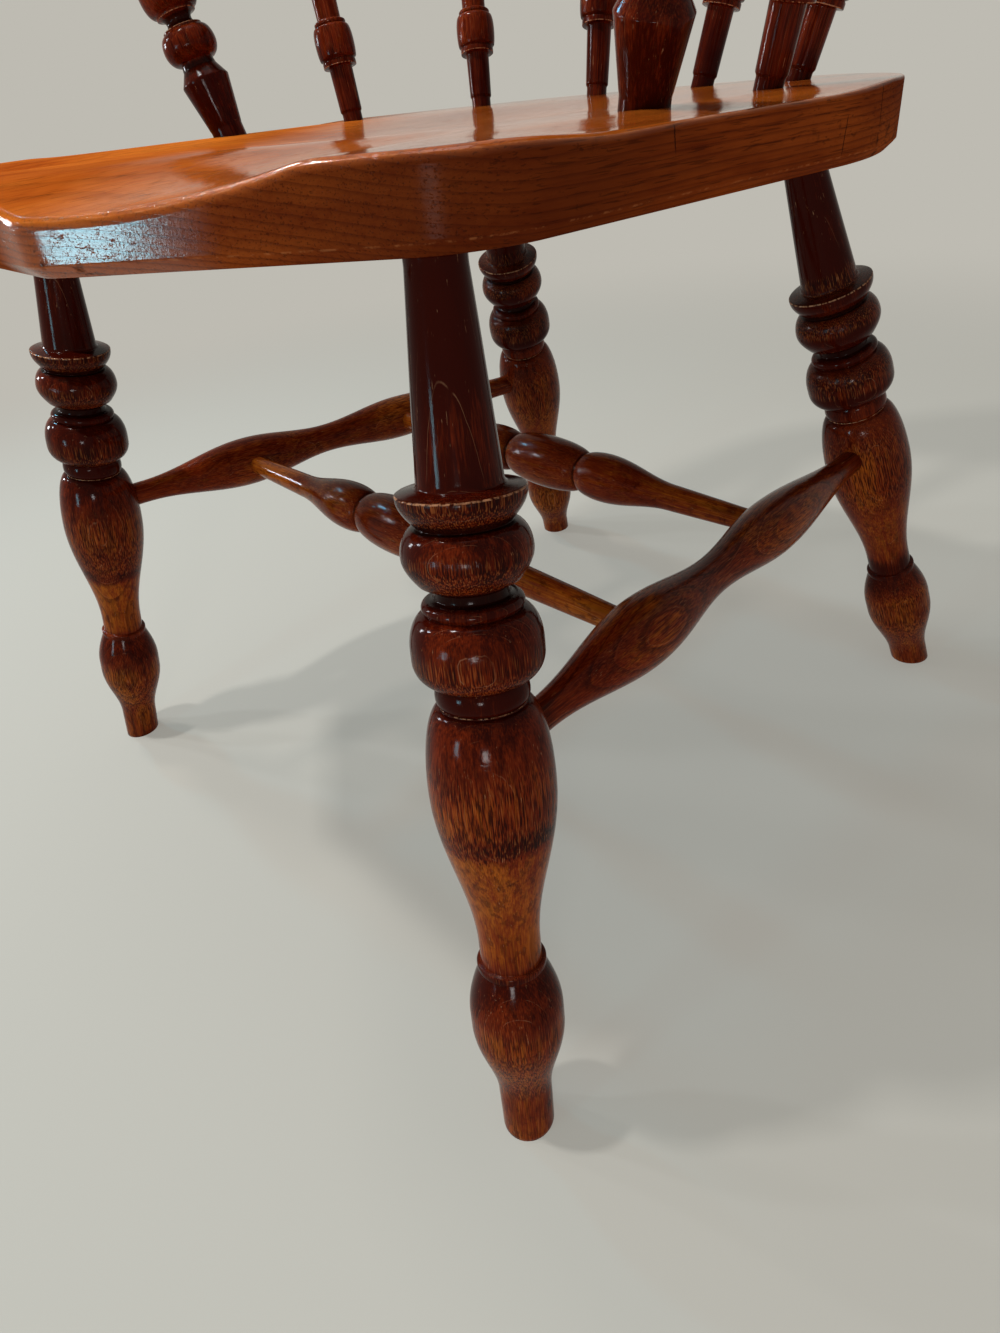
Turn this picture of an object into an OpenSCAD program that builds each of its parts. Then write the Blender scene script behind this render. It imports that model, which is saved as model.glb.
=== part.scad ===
// Low-backed turned wooden armchair: a plank seat on four raked legs with two side and two cross
// stretchers, and a sawn arm bow with a crest rail carried on two stumps and six spindles.
// Millimetres, +Z up, the sitter faces -Y, the floor is at z = 0.

/* [Seat] */
// Height of the seat's top above the floor, half way along it
seat_height = 443; // [425:1:465]
// Widest part of the seat, side to side
seat_width = 476; // [466:1:486]
// From the seat's middle to its front edge
seat_front = 269; // [262:1:276]
// From the seat's middle to its back edge
seat_back = 241; // [236:1:250]
// Thickness of the seat plank
seat_thickness = 31.5; // [28:1:38]
// How far the seat and the arm bow slope down to the back, in degrees
seat_slope = 3.05; // [1:0.05:5]
// Width of the straight part of the front edge
nose_width = 187; // [175:1:200]
// From the seat's middle forward to where its sides turn in to the nose
shoulder_forward = 172; // [166:1:180]
// From the seat's middle back to where its sides start to turn in
side_back = 125; // [118:1:132]
// Width of the straight part of the back edge
back_edge_width = 226; // [215:1:236]
// Height of the bevel under the seat's edge
seat_bevel = 5; // [2:0.5:8]
// Diameter of the dished middle of the seat
dish_diameter = 336; // [280:4:350]
// Depth of the dish
dish_depth = 6; // [2:0.5:9]
// Depth of each thigh hollow at the front edge
thigh_depth = 11.5; // [4:0.5:12.5]
// Width of each thigh hollow at the front edge
thigh_width = 160; // [130:2:176]
// Distance between the two thigh hollows
thigh_spacing = 240; // [190:2:250]
// How far back from the front edge each thigh hollow runs out
thigh_run = 205; // [150:5:230]

/* [Legs] */
// Distance between the front legs where they enter the seat
front_leg_spacing = 408.8; // [390:0.2:412]
// From the seat's middle forward to the front legs, under the seat
front_leg_forward = 168.6; // [160:0.2:173]
// Sideways splay of the front legs, in degrees
front_splay = 7.6; // [4:0.1:10]
// Forward rake of the front legs, in degrees
front_rake = 9.75; // [6:0.1:12]
// Distance between the back legs where they enter the seat
back_leg_spacing = 280.6; // [272:0.2:290]
// From the seat's middle back to the back legs, under the seat
back_leg_back = 163.2; // [158:0.2:168]
// Sideways splay of the back legs, in degrees
back_splay = 10.5; // [7:0.1:13]
// Backward rake of the back legs, in degrees
back_rake = 14.35; // [11:0.1:17]
// How much shorter the back legs' feet are cut than the front legs'
back_foot_trim = 12.3; // [0:0.2:20]
// Diameter of a leg's tenon in the seat
leg_tenon_diameter = 23.4; // [20:0.2:26]
// Depth of the legs' tenons in the seat
leg_tenon_length = 15; // [12:0.5:16]

/* [Leg turning] */
// Diameter of the foot at the floor
foot_diameter = 27.8; // [22:0.2:30]
// Height of the ankle, along the leg from the foot
ankle_height = 24; // [18:1:32]
// Diameter of the ankle
ankle_diameter = 28.4; // [22:0.2:32]
// Height at which the foot bulb reaches its full width
bulb_height = 72; // [64:1:77]
// Height at which the foot bulb starts to draw in
bulb_top_height = 81; // [78:1:88]
// Diameter of the foot bulb
bulb_diameter = 48; // [40:0.2:54]
// Height of the waist above the foot bulb
waist_height = 113.2; // [108:0.2:118]
// Diameter of the waist
waist_diameter = 30.6; // [26:0.2:34]
// Height at which the vase starts to swell
vase_foot_height = 124; // [119:1:132]
// Height of the vase's widest part
vase_height = 212; // [200:1:224]
// Diameter of the vase
vase_diameter = 58.2; // [50:0.2:64]
// Height of the edge at the top of the vase
vase_top_height = 254.6; // [251.8:0.2:255.4]
// Diameter of that edge
vase_top_diameter = 38.6; // [36:0.2:40]
// Height of the small ring above the vase
small_ring_height = 258.8; // [257.5:0.1:259.8]
// Diameter of the small ring
small_ring_diameter = 41.4; // [39:0.2:44]
// Height at which the lower large ring reaches its full width
lower_ring_height = 276.5; // [272:0.5:278]
// Height at which it starts to draw in
lower_ring_top_height = 281; // [279:0.5:286]
// Diameter of the lower large ring
lower_ring_diameter = 56.8; // [50:0.2:62]
// Height of the disc between the large rings
disc_height = 299; // [298:0.1:300.6]
// Diameter of the disc
disc_diameter = 43.2; // [40:0.2:46]
// Diameter of the neck above the disc
neck_diameter = 31.6; // [27:0.2:34]
// Diameter of the edge under the upper large ring
upper_ring_edge_diameter = 43.2; // [40:0.2:47]
// Height of the upper large ring
upper_ring_height = 321; // [316:0.5:326]
// Diameter of the upper large ring
upper_ring_diameter = 54.2; // [48:0.2:60]
// Height of the groove under the collar
collar_groove_height = 332.8; // [330.5:0.1:335.5]
// Height of the collar's rim
collar_height = 346; // [343:0.5:350]
// Diameter of the collar
collar_diameter = 52.6; // [46:0.2:58]
// Diameter of the leg just above the collar
upper_leg_diameter = 34.8; // [30:0.2:38]

/* [Stretchers] */
// Height of the side stretchers on the front legs, along the leg from the foot
side_joint_front = 226; // [215:1:235]
// Height of the side stretchers on the back legs, along the leg from the foot
side_joint_back = 208; // [196:1:216]
// Diameter of the side stretchers' tenons and ends
side_tenon_diameter = 17; // [14:0.2:20]
// How far short of the leg's middle a side stretcher's tenon ends
side_tenon_short = 8; // [4:0.5:12]
// Diameter of the side stretchers' front swelling
front_swell_diameter = 38.4; // [32:0.2:44]
// Diameter of the side stretchers' back swelling
back_swell_diameter = 36; // [32:0.2:44]
// Diameter of the side stretchers' slim middle
side_middle_diameter = 23; // [18:0.2:28]
// Distance of the front swelling and front cross stretcher from the front leg
front_swell_place = 124; // [110:1:135]
// Distance of the back swelling and back cross stretcher from the front leg
back_swell_place = 271; // [255:1:285]
// Diameter of the cross stretchers' tenons
cross_tenon_diameter = 14.6; // [12:0.2:17]
// How far short of the side stretcher's middle a cross stretcher's tenon ends
cross_tenon_short = 4; // [3:0.5:8]
// Diameter of the cross stretchers' centre bead
bead_diameter = 39; // [32:0.2:44]
// Length of the cross stretchers' centre bead
bead_length = 72; // [60:1:84]
// Diameter of the grooves beside the centre bead
bead_groove_diameter = 25; // [20:0.2:30]
// Diameter of the arrow swellings beside the centre bead
arrow_diameter = 35; // [28:0.2:40]
// Distance of the arrow swellings' widest part from the middle
arrow_place = 58; // [52:1:64]
// Distance from the middle at which the arrow swellings have drawn in
arrow_end = 122; // [110:1:134]
// Diameter there
arrow_end_diameter = 18; // [16:0.2:22]

/* [Arm stumps] */
// Distance between the two stumps on the seat
stump_spacing = 372.6; // [364:0.2:380]
// From the seat's middle forward to the stumps
stump_forward = 32.5; // [20:0.5:50]
// Outward lean of the stumps, in degrees
stump_splay = 15.1; // [13:0.1:17]
// Forward lean of the stumps, in degrees
stump_rake = 4.7; // [2:0.1:7]
// Diameter of a stump where it stands on the seat
stump_base_diameter = 23.2; // [21.4:0.2:25]
// Diameter of a stump's lower shoulder
stump_shoulder_diameter = 33; // [28:0.2:37]
// Height of the lower shoulder, along the stump from the seat
stump_shoulder_height = 34; // [30:0.5:36]
// Height of the bun above the shoulder, along the stump from the seat
stump_bun_height = 55; // [53.5:0.5:57]
// Diameter of that bun
stump_bun_diameter = 36.4; // [32:0.2:41]
// Height of the vase's widest part, along the stump from the seat
stump_vase_height = 86; // [80:0.5:92]
// Diameter of the stump's vase
stump_vase_diameter = 37.4; // [33:0.2:42]
// Distance of the slim neck above the vase below the arm
stump_neck_drop = 79; // [74:0.5:86]
// Diameter of that neck
stump_neck_diameter = 21.6; // [18:0.2:25]
// Distance of the upper bun below the arm
stump_top_bun_drop = 55; // [53:0.5:57]
// Diameter of the upper bun
stump_top_bun_diameter = 31; // [27:0.2:36]
// Depth of the stumps' tenons in the seat
stump_tenon_length = 22; // [14:0.5:24]
// Diameter of a stump's tenon in the seat and through the arm
stump_tenon_diameter = 22.4; // [20:0.2:22.8]

/* [Spindles] */
// Distance from the middle to each front spindle, on the seat
front_spindle_across = 180; // [176:0.5:184]
// Distance from the seat's middle back to the front spindles
front_spindle_back = 68; // [56:0.5:80]
// Outward lean of the front spindles, in degrees
front_spindle_splay = 12.2; // [11:0.1:14]
// Backward lean of the front spindles, in degrees
front_spindle_rake = 4.2; // [2:0.1:6]
// Distance from the middle to each middle spindle, on the seat
middle_spindle_across = 138; // [134:0.5:141]
// Distance from the seat's middle back to the middle spindles
middle_spindle_back = 160.5; // [156:0.5:163]
// Outward lean of the middle spindles, in degrees
middle_spindle_splay = 12.4; // [11:0.1:14]
// Backward lean of the middle spindles, in degrees
middle_spindle_rake = 14; // [12.5:0.1:15.5]
// Distance from the middle to each back spindle, on the seat
back_spindle_across = 47; // [40:0.5:56]
// Distance from the seat's middle back to the back spindles
back_spindle_back = 193; // [188:0.5:196]
// Outward lean of the back spindles, in degrees
back_spindle_splay = 7.2; // [5.5:0.1:8.5]
// Backward lean of the back spindles, in degrees
back_spindle_rake = 17; // [15.5:0.1:18.5]
// Diameter of a spindle where it stands on the seat
spindle_base_diameter = 16.2; // [14.8:0.2:18]
// Diameter of a spindle just below its barrel
spindle_shaft_diameter = 17.2; // [15.4:0.2:20]
// Height of the barrel's foot, along the spindle from the seat
barrel_height = 34; // [28:0.5:40]
// How much higher the barrels of the two back spindles are
back_barrel_rise = 8; // [0:0.5:14]
// Length of the barrel
barrel_length = 29.4; // [25:0.2:34]
// Diameter of the barrel
barrel_diameter = 28.6; // [25:0.2:33]
// Diameter of the spindle's slow swelling above the barrel
spindle_swell_diameter = 20.4; // [18:0.2:23]
// Depth of the spindles' tenons in the seat, clear of the back legs' tenons below them
spindle_tenon_length = 10.5; // [8:0.5:11.5]
// Diameter of a spindle's tenons
spindle_tenon_diameter = 14.4; // [12:0.2:14.6]

/* [Arm bow] */
// Height of the arm bow's underside above the seat's top
arm_rise = 222; // [210:1:235]
// Thickness of the arm bow
bow_thickness = 27; // [24:0.5:32]
// Width of the arm bow
bow_width = 60; // [54:1:66]
// From the seat's middle back to the middle line of the bow
bow_back = 270; // [266:1:275]
// Radius of the bow's back
bow_back_radius = 400; // [380:5:430]
// Radius of the bow's two corners
bow_corner_radius = 140; // [132:1:148]
// Half of the angle that the back takes, in degrees
bow_back_angle = 19; // [18:0.25:20]
// Angle at which the corners run out into the arms, in degrees
bow_arm_angle = 81; // [80:0.25:82]
// Length of the straight part of each arm
arm_length = 178; // [170:1:190]
// Length of the scrolled hand
hand_length = 104; // [96:1:112]
// How far the hand flares out past the arm
hand_flare = 13; // [6:0.5:18]
// Depth of the spindles' tenons in the bow
bow_tenon_length = 18; // [14:0.5:21]

/* [Crest rail] */
// Height of the crest rail at its middle
crest_height = 98; // [80:1:115]
// Height of the crest rail at its ends
crest_end_height = 14; // [10:1:20]
// Length of the crest rail across the back
crest_length = 384; // [370:2:396]
// Thickness of the crest rail where it stands on the bow
crest_thickness = 42; // [36:1:50]
// Backward lean of the crest rail's front face, in degrees
crest_front_lean = 11; // [8:0.5:12]
// Backward lean of the crest rail's back face, in degrees
crest_back_lean = 2; // [0:0.5:4]

/* [Joints and fixings] */
// Space between a tenon, dowel, wedge or screw and its hole, all round
fit = 0.1; // [0.05:0.01:0.15]
// Space left at the bottom of a blind hole
hole_end = 0.5; // [0.3:0.1:0.9]
// Width of the wedge in the top of each stump
wedge_width = 3; // [2:0.2:4]
// Depth of that wedge
wedge_depth = 15; // [10:0.5:18]
// Diameter of the two dowels that join the halves of the bow
dowel_diameter = 9; // [7:0.5:11]
// Length of those dowels
dowel_length = 60; // [44:2:62]
// Distance between those dowels
dowel_spacing = 30; // [26:1:34]
// Length of the screws from the bow up into the crest rail
screw_length = 52; // [44:1:56]
// Diameter of the screws
screw_diameter = 4.8; // [4:0.2:5.6]
// Diameter of the screws' heads
screw_head_diameter = 9.6; // [8.4:0.2:11]
// Angle round the bow's back at which the outer screws stand, in degrees
outer_screw_angle = 17.5; // [14:0.5:19]
// Angle round the bow's back at which the inner screws stand, in degrees
inner_screw_angle = 5.2; // [4.6:0.1:8]

/* [Hidden] */
turn_steps = 72;       // sides that the interpreter gives a round
curve_steps = 6;       // points along each curved stretch of a turning
left = -1;
right = 1;
reach = 900;           // larger than the chair, for cutting planes
over = 6;              // how far a cutter or an untrimmed end runs past a face
spindle_across = [front_spindle_across, middle_spindle_across, back_spindle_across];
spindle_back = [front_spindle_back, middle_spindle_back, back_spindle_back];
spindle_splay = [front_spindle_splay, middle_spindle_splay, back_spindle_splay];
spindle_rake = [front_spindle_rake, middle_spindle_rake, back_spindle_rake];
screw_angles = [-outer_screw_angle, -inner_screw_angle, inner_screw_angle, outer_screw_angle];
slope = tan(seat_slope);

// The object's box is centred on the origin: half way from the seat's nose to the bow's back
middle_y = (bow_back + bow_width / 2 - seat_front) / 2;

// Where things are

// Height of the seat's top over a place y
function seat_top(y) = seat_height - slope * y;
// Height of the seat's underside over a place y
function seat_under(y) = seat_top(y) - seat_thickness / cos(seat_slope);

// A place and an upward direction describe the axis of each turned piece
function leg_place(front, side) = front
    ? [side * front_leg_spacing / 2, -front_leg_forward, seat_under(-front_leg_forward)]
    : [side * back_leg_spacing / 2, back_leg_back, seat_under(back_leg_back)];
function leg_way(front, side) = front
    ? [-side * tan(front_splay), tan(front_rake), 1]
    : [-side * tan(back_splay), -tan(back_rake), 1];
function leg_foot(front, side) = leg_place(front, side)
    - leg_way(front, side) * leg_place(front, side)[2];
function leg_length(front, side) = norm(leg_place(front, side) - leg_foot(front, side));
function leg_point(front, side, height) = leg_foot(front, side)
    + leg_way(front, side) / norm(leg_way(front, side)) * height;

function side_start(side) = leg_point(true, side, side_joint_front);
function side_finish(side) = leg_point(false, side, side_joint_back);
function side_way(side) = (side_finish(side) - side_start(side))
    / norm(side_finish(side) - side_start(side));
function side_point(side, along) = side_start(side) + side_way(side) * along;

function stump_place(side) = [side * stump_spacing / 2, -stump_forward, seat_top(-stump_forward)];
function stump_way(side) = [side * tan(stump_splay), -tan(stump_rake), 1];
function spindle_place(row, side) =
    [side * spindle_across[row], spindle_back[row], seat_top(spindle_back[row])];
function spindle_way(row, side) = [side * tan(spindle_splay[row]), tan(spindle_rake[row]), 1];
// Length of an upright along its own axis, from the seat's top to the bow's underside
function upright_length(way) = arm_rise / (1 + slope * way[1]) * norm(way);

// Turned outlines

// A turning is a list of stations [height, radius, shape], where shape says how the outline runs
// there from the station before: straight, an ogee, a full round, a hollow, or a slow swelling that
// is flat at its wide end alone
straight = 0;
ogee = 1;
round_out = 2;
hollow = 3;
swell = 4;
function stretch(a, b) =
    let (dh = b[0] - a[0], dr = b[1] - a[1], grows = dr > 0)
    b[2] == straight ? [[b[1], b[0]]] :
    [for (i = [1 : curve_steps]) let (
        t = i / curve_steps,
        s = sin(90 * t),
        c = 1 - cos(90 * t),
        full = (b[2] == round_out) == grows)
        b[2] == ogee ? [a[1] + dr * (1 - cos(180 * t)) / 2, a[0] + dh * t] :
        b[2] == swell ? [a[1] + dr * (grows ? s : c), a[0] + dh * t]
                     : [a[1] + dr * (full ? s : c), a[0] + dh * (full ? c : s)]];
function outline(stations) = concat(
    [[0, stations[0][0]], [stations[0][1], stations[0][0]]],
    [for (i = [1 : len(stations) - 1]) each stretch(stations[i - 1], stations[i])],
    [[0, stations[len(stations) - 1][0]]]);

// The start of the round faces lies off the lean of the piece, clear of where other pieces meet it
module turned(stations) rotate([0, 0, 90])
    rotate_extrude($fn = turn_steps) polygon(outline(stations));
module aim(place, way)
    translate(place) rotate([0, acos(way[2] / norm(way)), atan2(way[1], way[0])]) children();
module centred() translate([0, -middle_y, 0]) children();
// Puts its children on a plane parallel to the seat's top, so far above it
module on_slope(up) translate([0, 0, seat_height + up]) rotate([-seat_slope, 0, 0]) children();
module above_slope(up)
    on_slope(up) translate([-reach / 2, -reach / 2, 0]) cube([reach, reach, reach]);

// Sockets

module hole(diameter, from, to) translate([0, 0, from])
    cylinder(h = to - from, d = diameter + 2 * fit, $fn = turn_steps);

module side_tenon_holes(front, side) aim(side_start(side), side_way(side))
    if (front) hole(side_tenon_diameter, side_tenon_short - hole_end, vase_diameter);
    else hole(side_tenon_diameter, side_length(side) - vase_diameter,
              side_length(side) - side_tenon_short + hole_end);

// Seat

// Corners of a closed outline are [x, y, radius]; each becomes an arc that touches both its sides
function rounded(corners, steps = 8) = [for (i = [0 : len(corners) - 1])
    let (
        n = len(corners),
        p = [corners[i][0], corners[i][1]],
        before = [corners[(i + n - 1) % n][0], corners[(i + n - 1) % n][1]] - p,
        after = [corners[(i + 1) % n][0], corners[(i + 1) % n][1]] - p,
        u = before / norm(before),
        v = after / norm(after),
        half = acos(u * v) / 2,
        middle = p + (u + v) / norm(u + v) * corners[i][2] / sin(half),
        first = p + u * corners[i][2] / tan(half) - middle,
        a = atan2(first[1], first[0]),
        last = p + v * corners[i][2] / tan(half) - middle,
        turn = ((atan2(last[1], last[0]) - a + 540) % 360) - 180)
    for (k = [0 : steps])
        middle + corners[i][2] * [cos(a + turn * k / steps), sin(a + turn * k / steps)]];

nose_round = 20;
shoulder_round = 60;
back_round = 177;
function seat_side(side) = [
    [side * nose_width / 2, -seat_front, nose_round],
    [side * seat_width / 2, -shoulder_forward, shoulder_round],
    [side * seat_width / 2, side_back, back_round],
    [side * back_edge_width / 2, seat_back, back_round]];
function seat_outline() = rounded(concat(seat_side(right),
    [for (i = [3 : -1 : 0]) seat_side(left)[i]]));

// The dish is a round hollow whose edge runs out smoothly
dish_steps = 12;
module dish() rotate_extrude($fn = turn_steps) polygon(concat(
    [for (i = [0 : dish_steps]) let (t = i / dish_steps)
        [dish_diameter / 2 * t, -dish_depth * pow(1 - t * t, 2)]],
    [[dish_diameter / 2, over], [0, over]]));

// Each thigh hollow is part of a long round trough that rises to the back
thigh_radius = (pow(thigh_width / 2, 2) + pow(thigh_depth, 2)) / (2 * thigh_depth);
module thigh_hollow(side)
    translate([side * thigh_spacing / 2, -seat_front, -thigh_depth])
        rotate([-90 + atan(thigh_depth / thigh_run), 0, 0])
            translate([0, -thigh_radius, -over * 4])
                cylinder(h = thigh_run + over * 4, r = thigh_radius, $fn = 4 * turn_steps);

module seat_plank() intersection() {
    narrow = 1 - 2 * seat_bevel / seat_width;
    widen = (1 - narrow) / seat_bevel * seat_thickness;
    linear_extrude(seat_thickness) polygon(seat_outline());
    linear_extrude(seat_thickness, scale = (narrow + widen) / narrow)
        polygon(seat_outline() * narrow);
}

module seat() color([0.55, 0.27, 0.10]) centred() difference() {
    on_slope(0) difference() {
        translate([0, 0, -seat_thickness]) seat_plank();
        dish();
        for (side = [left, right]) thigh_hollow(side);
    }
    for (front = [true, false], side = [left, right])
        aim(leg_place(front, side), leg_way(front, side))
            hole(leg_tenon_diameter, -over, leg_tenon_length + hole_end);
    for (side = [left, right]) {
        aim(stump_place(side), stump_way(side))
            hole(stump_tenon_diameter, -stump_tenon_length - hole_end, over);
        for (row = [0 : 2]) aim(spindle_place(row, side), spindle_way(row, side))
            hole(spindle_tenon_diameter, -spindle_tenon_length - hole_end, over);
    }
}

// Legs

tenon_show = 5;        // length of tenon that shows under the seat
groove = 1.5;          // width of the small steps between turned features
function leg_stations(length) = [
    [-over, foot_diameter / 2, straight],
    [ankle_height, ankle_diameter / 2, straight],
    [bulb_height, bulb_diameter / 2, ogee],
    [bulb_top_height, bulb_diameter / 2, straight],
    [waist_height - 3 * groove, waist_diameter / 2 + groove, swell],
    [waist_height - 2 * groove, waist_diameter / 2 + 1.4 * groove, round_out],
    [waist_height - groove, waist_diameter / 2 + 1.4 * groove, straight],
    [waist_height, waist_diameter / 2, round_out],
    [vase_foot_height, waist_diameter / 2, straight],
    [vase_height, vase_diameter / 2, ogee],
    [vase_top_height - groove / 2, vase_top_diameter / 2, round_out],
    [vase_top_height, vase_top_diameter / 2, straight],
    [vase_top_height, (vase_top_diameter - groove) / 2, straight],
    [small_ring_height, small_ring_diameter / 2, round_out],
    [small_ring_height + 4.5 * groove, small_ring_diameter / 2 - 1.5 * groove, round_out],
    [lower_ring_height, lower_ring_diameter / 2, round_out],
    [lower_ring_top_height, lower_ring_diameter / 2, straight],
    [disc_height - 1.6 * groove, disc_diameter / 2 - groove, round_out],
    [disc_height - 1.3 * groove, disc_diameter / 2 - groove / 2, straight],
    [disc_height, disc_diameter / 2, swell],
    [disc_height + 2 * groove, disc_diameter / 2 - 2 * groove, round_out],
    [disc_height + 3 * groove, neck_diameter / 2, hollow],
    [disc_height + 5 * groove, neck_diameter / 2, straight],
    [disc_height + 7 * groove, upper_ring_edge_diameter / 2, straight],
    [upper_ring_height, upper_ring_diameter / 2, swell],
    [collar_groove_height, collar_diameter / 2 - 4.5 * groove, round_out],
    [collar_height - groove, collar_diameter / 2, swell],
    [collar_height, collar_diameter / 2, straight],
    [collar_height + groove, upper_leg_diameter / 2 + groove, straight],
    [collar_height + 3 * groove, upper_leg_diameter / 2, hollow],
    [length - tenon_show, leg_tenon_diameter / 2, straight],
    [length + leg_tenon_length, leg_tenon_diameter / 2, straight]];

// The back legs have the same turning as the front ones, with their feet cut shorter
module leg(front, side) color([0.36, 0.13, 0.05]) centred() difference() {
    trim = front ? 0 : back_foot_trim;
    length = leg_length(front, side);
    intersection() {
        aim(leg_foot(front, side), leg_way(front, side))
            translate([0, 0, -trim]) turned(leg_stations(length + trim));
        translate([-reach / 2, -reach / 2, 0]) cube([reach, reach, reach]);
    }
    side_tenon_holes(front, side);
}

// Stretchers

function side_length(side) = norm(side_finish(side) - side_start(side));
tenon_clear = 36;      // from a leg's middle to where its stretcher starts to swell
module side_stretcher(side) color([0.40, 0.16, 0.06]) centred() difference() {
    length = side_length(side);
    aim(side_start(side), side_way(side)) turned([
        [side_tenon_short, side_tenon_diameter / 2, straight],
        [tenon_clear, side_tenon_diameter / 2, straight],
        [front_swell_place, front_swell_diameter / 2, ogee],
        [(front_swell_place + back_swell_place) / 2, side_middle_diameter / 2, ogee],
        [back_swell_place, back_swell_diameter / 2, ogee],
        [length - tenon_clear, side_tenon_diameter / 2, ogee],
        [length - side_tenon_short, side_tenon_diameter / 2, straight]]);
    for (place = [front_swell_place, back_swell_place])
        aim(side_point(side, place), [-side, 0, 0])
            hole(cross_tenon_diameter, cross_tenon_short - hole_end, front_swell_diameter);
}

bead_gap = 2;          // width of the groove beside the centre bead
cross_clear = 24;      // from a side stretcher's middle to where its cross stretcher swells
module cross_stretcher(place) color([0.42, 0.17, 0.06]) centred() {
    half = side_point(right, place)[0];
    side_half = [
        [bead_length / 2, bead_groove_diameter / 2],
        [bead_length / 2 + bead_gap, bead_groove_diameter / 2],
        [arrow_place, arrow_diameter / 2],
        [arrow_end, arrow_end_diameter / 2],
        [half - cross_clear, cross_tenon_diameter / 2],
        [half - cross_tenon_short, cross_tenon_diameter / 2]];
    shapes = [round_out, straight, round_out, ogee, straight, straight];
    aim(side_point(right, place) - [half, 0, 0], [1, 0, 0]) turned(concat(
        [for (i = [5 : -1 : 0])
            [-side_half[i][0], side_half[i][1], i == 5 ? straight : shapes[i + 1]]],
        [[0, bead_diameter / 2, shapes[0]]],
        [for (i = [0 : 5]) [side_half[i][0], side_half[i][1], shapes[i]]]));
}

// Stumps and spindles

// The buns, discs and hollows of a stump are set from these sizes
bun_half = 9;          // half of a bun's length
bun_draw = 4.8;        // how much less than its bun's the radius of a disc is
bun_neck = 11;         // radius where the shoulder's bevel runs into the bun
bevel_length = 8;      // length of that bevel
disc_length = 1.6;     // length of a thin disc
cove_radius = 8.6;     // radius at the bottom of a hollow
cove_half = 3.8;       // half of a hollow's length
module arm_stump(side) color([0.36, 0.13, 0.05]) centred() difference() {
    way = stump_way(side);
    length = upright_length(way);
    bun = stump_bun_height;
    disc = bun + bun_half;
    cove = disc + disc_length + cove_half;
    fillet = cove + cove_half;
    neck = length - stump_neck_drop;
    upper = length - stump_top_bun_drop;
    bun_radius = stump_bun_diameter / 2;
    upper_radius = stump_top_bun_diameter / 2;
    aim(stump_place(side), way) turned([
        [-stump_tenon_length, stump_tenon_diameter / 2, straight],
        [tenon_show, stump_tenon_diameter / 2, straight],
        [tenon_show + groove, stump_base_diameter / 2, straight],
        [stump_shoulder_height, stump_shoulder_diameter / 2, straight],
        [stump_shoulder_height + bevel_length, bun_neck + groove / 2, straight],
        [bun - bun_half, bun_neck, straight],
        [bun, bun_radius, round_out],
        [disc, bun_radius - bun_draw, round_out],
        [disc + disc_length, bun_radius - bun_draw, straight],
        [cove, cove_radius, hollow],
        [fillet, bun_radius - bun_draw, hollow],
        [fillet + disc_length, bun_radius - bun_draw, straight],
        [stump_vase_height, stump_vase_diameter / 2, round_out],
        [neck, stump_neck_diameter / 2, ogee],
        [neck + groove, stump_neck_diameter / 2 + groove, straight],
        [neck + groove + disc_length, stump_neck_diameter / 2 + groove, straight],
        [upper - bun_half - cove_half, cove_radius, hollow],
        [upper - bun_half, upper_radius - bun_draw, hollow],
        [upper, upper_radius, round_out],
        [upper + bun_half, upper_radius - bun_draw, round_out],
        [upper + bun_half + groove, upper_radius - bun_draw / 2, straight],
        [length - tenon_show - groove, stump_base_diameter / 2, straight],
        [length - tenon_show, stump_tenon_diameter / 2, straight],
        [length + bow_thickness + over, stump_tenon_diameter / 2, straight]]);
    above_slope(arm_rise + bow_thickness / cos(seat_slope));
    aim(arm_top(side), way) wedge_shape(wedge_width / 2, fit);
}

// The lip and grooves at the ends of a spindle's barrel
lip_length = 4;        // length of the lips at the barrel's ends
lip_draw = 2;          // how much less than the barrel's the radius of the lower lip is
fine_step = 0.8;       // width of the finest steps
barrel_full = 0.53;    // share of its length at which the barrel is widest
module spindle(row, side) color([0.34, 0.12, 0.05]) centred() {
    way = spindle_way(row, side);
    length = upright_length(way);
    foot = barrel_height + (row == 2 ? back_barrel_rise : 0);
    top = foot + barrel_length;
    barrel_radius = barrel_diameter / 2;
    aim(spindle_place(row, side), way) turned([
        [-spindle_tenon_length, spindle_tenon_diameter / 2, straight],
        [tenon_show, spindle_tenon_diameter / 2, straight],
        [tenon_show + groove, spindle_base_diameter / 2, straight],
        [foot, spindle_shaft_diameter / 2, straight],
        [foot + fine_step, barrel_radius - lip_draw, hollow],
        [foot + lip_length, barrel_radius - lip_draw, straight],
        [foot + lip_length + fine_step, barrel_radius - lip_draw - fine_step, straight],
        [foot + lip_length + 2 * fine_step, barrel_radius - lip_draw + fine_step, straight],
        [foot + barrel_length * barrel_full, barrel_radius, round_out],
        [top - lip_length, barrel_radius - lip_draw, round_out],
        [top - lip_length + fine_step, barrel_radius - lip_draw - 2 * fine_step, straight],
        [top - 2 * fine_step, barrel_radius - lip_draw - fine_step, round_out],
        [top, spindle_shaft_diameter / 2, round_out],
        [(top + length) / 2, spindle_swell_diameter / 2, ogee],
        [length - tenon_show, spindle_tenon_diameter / 2, ogee],
        [length + bow_tenon_length, spindle_tenon_diameter / 2, straight]]);
}

// Arm bow

// The bow's middle line is one arc across the back, an arc at each corner and a straight arm
back_centre = [0, bow_back - bow_back_radius];
corner_centre = back_centre + (bow_back_radius - bow_corner_radius)
    * [sin(bow_back_angle), cos(bow_back_angle)];
arm_out = [sin(bow_arm_angle), cos(bow_arm_angle)];
arm_ahead = [cos(bow_arm_angle), -sin(bow_arm_angle)];
function arc(centre, radius, from, to, steps) = [for (i = [0 : steps])
    let (a = from + (to - from) * i / steps) centre + radius * [sin(a), cos(a)]];
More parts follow.
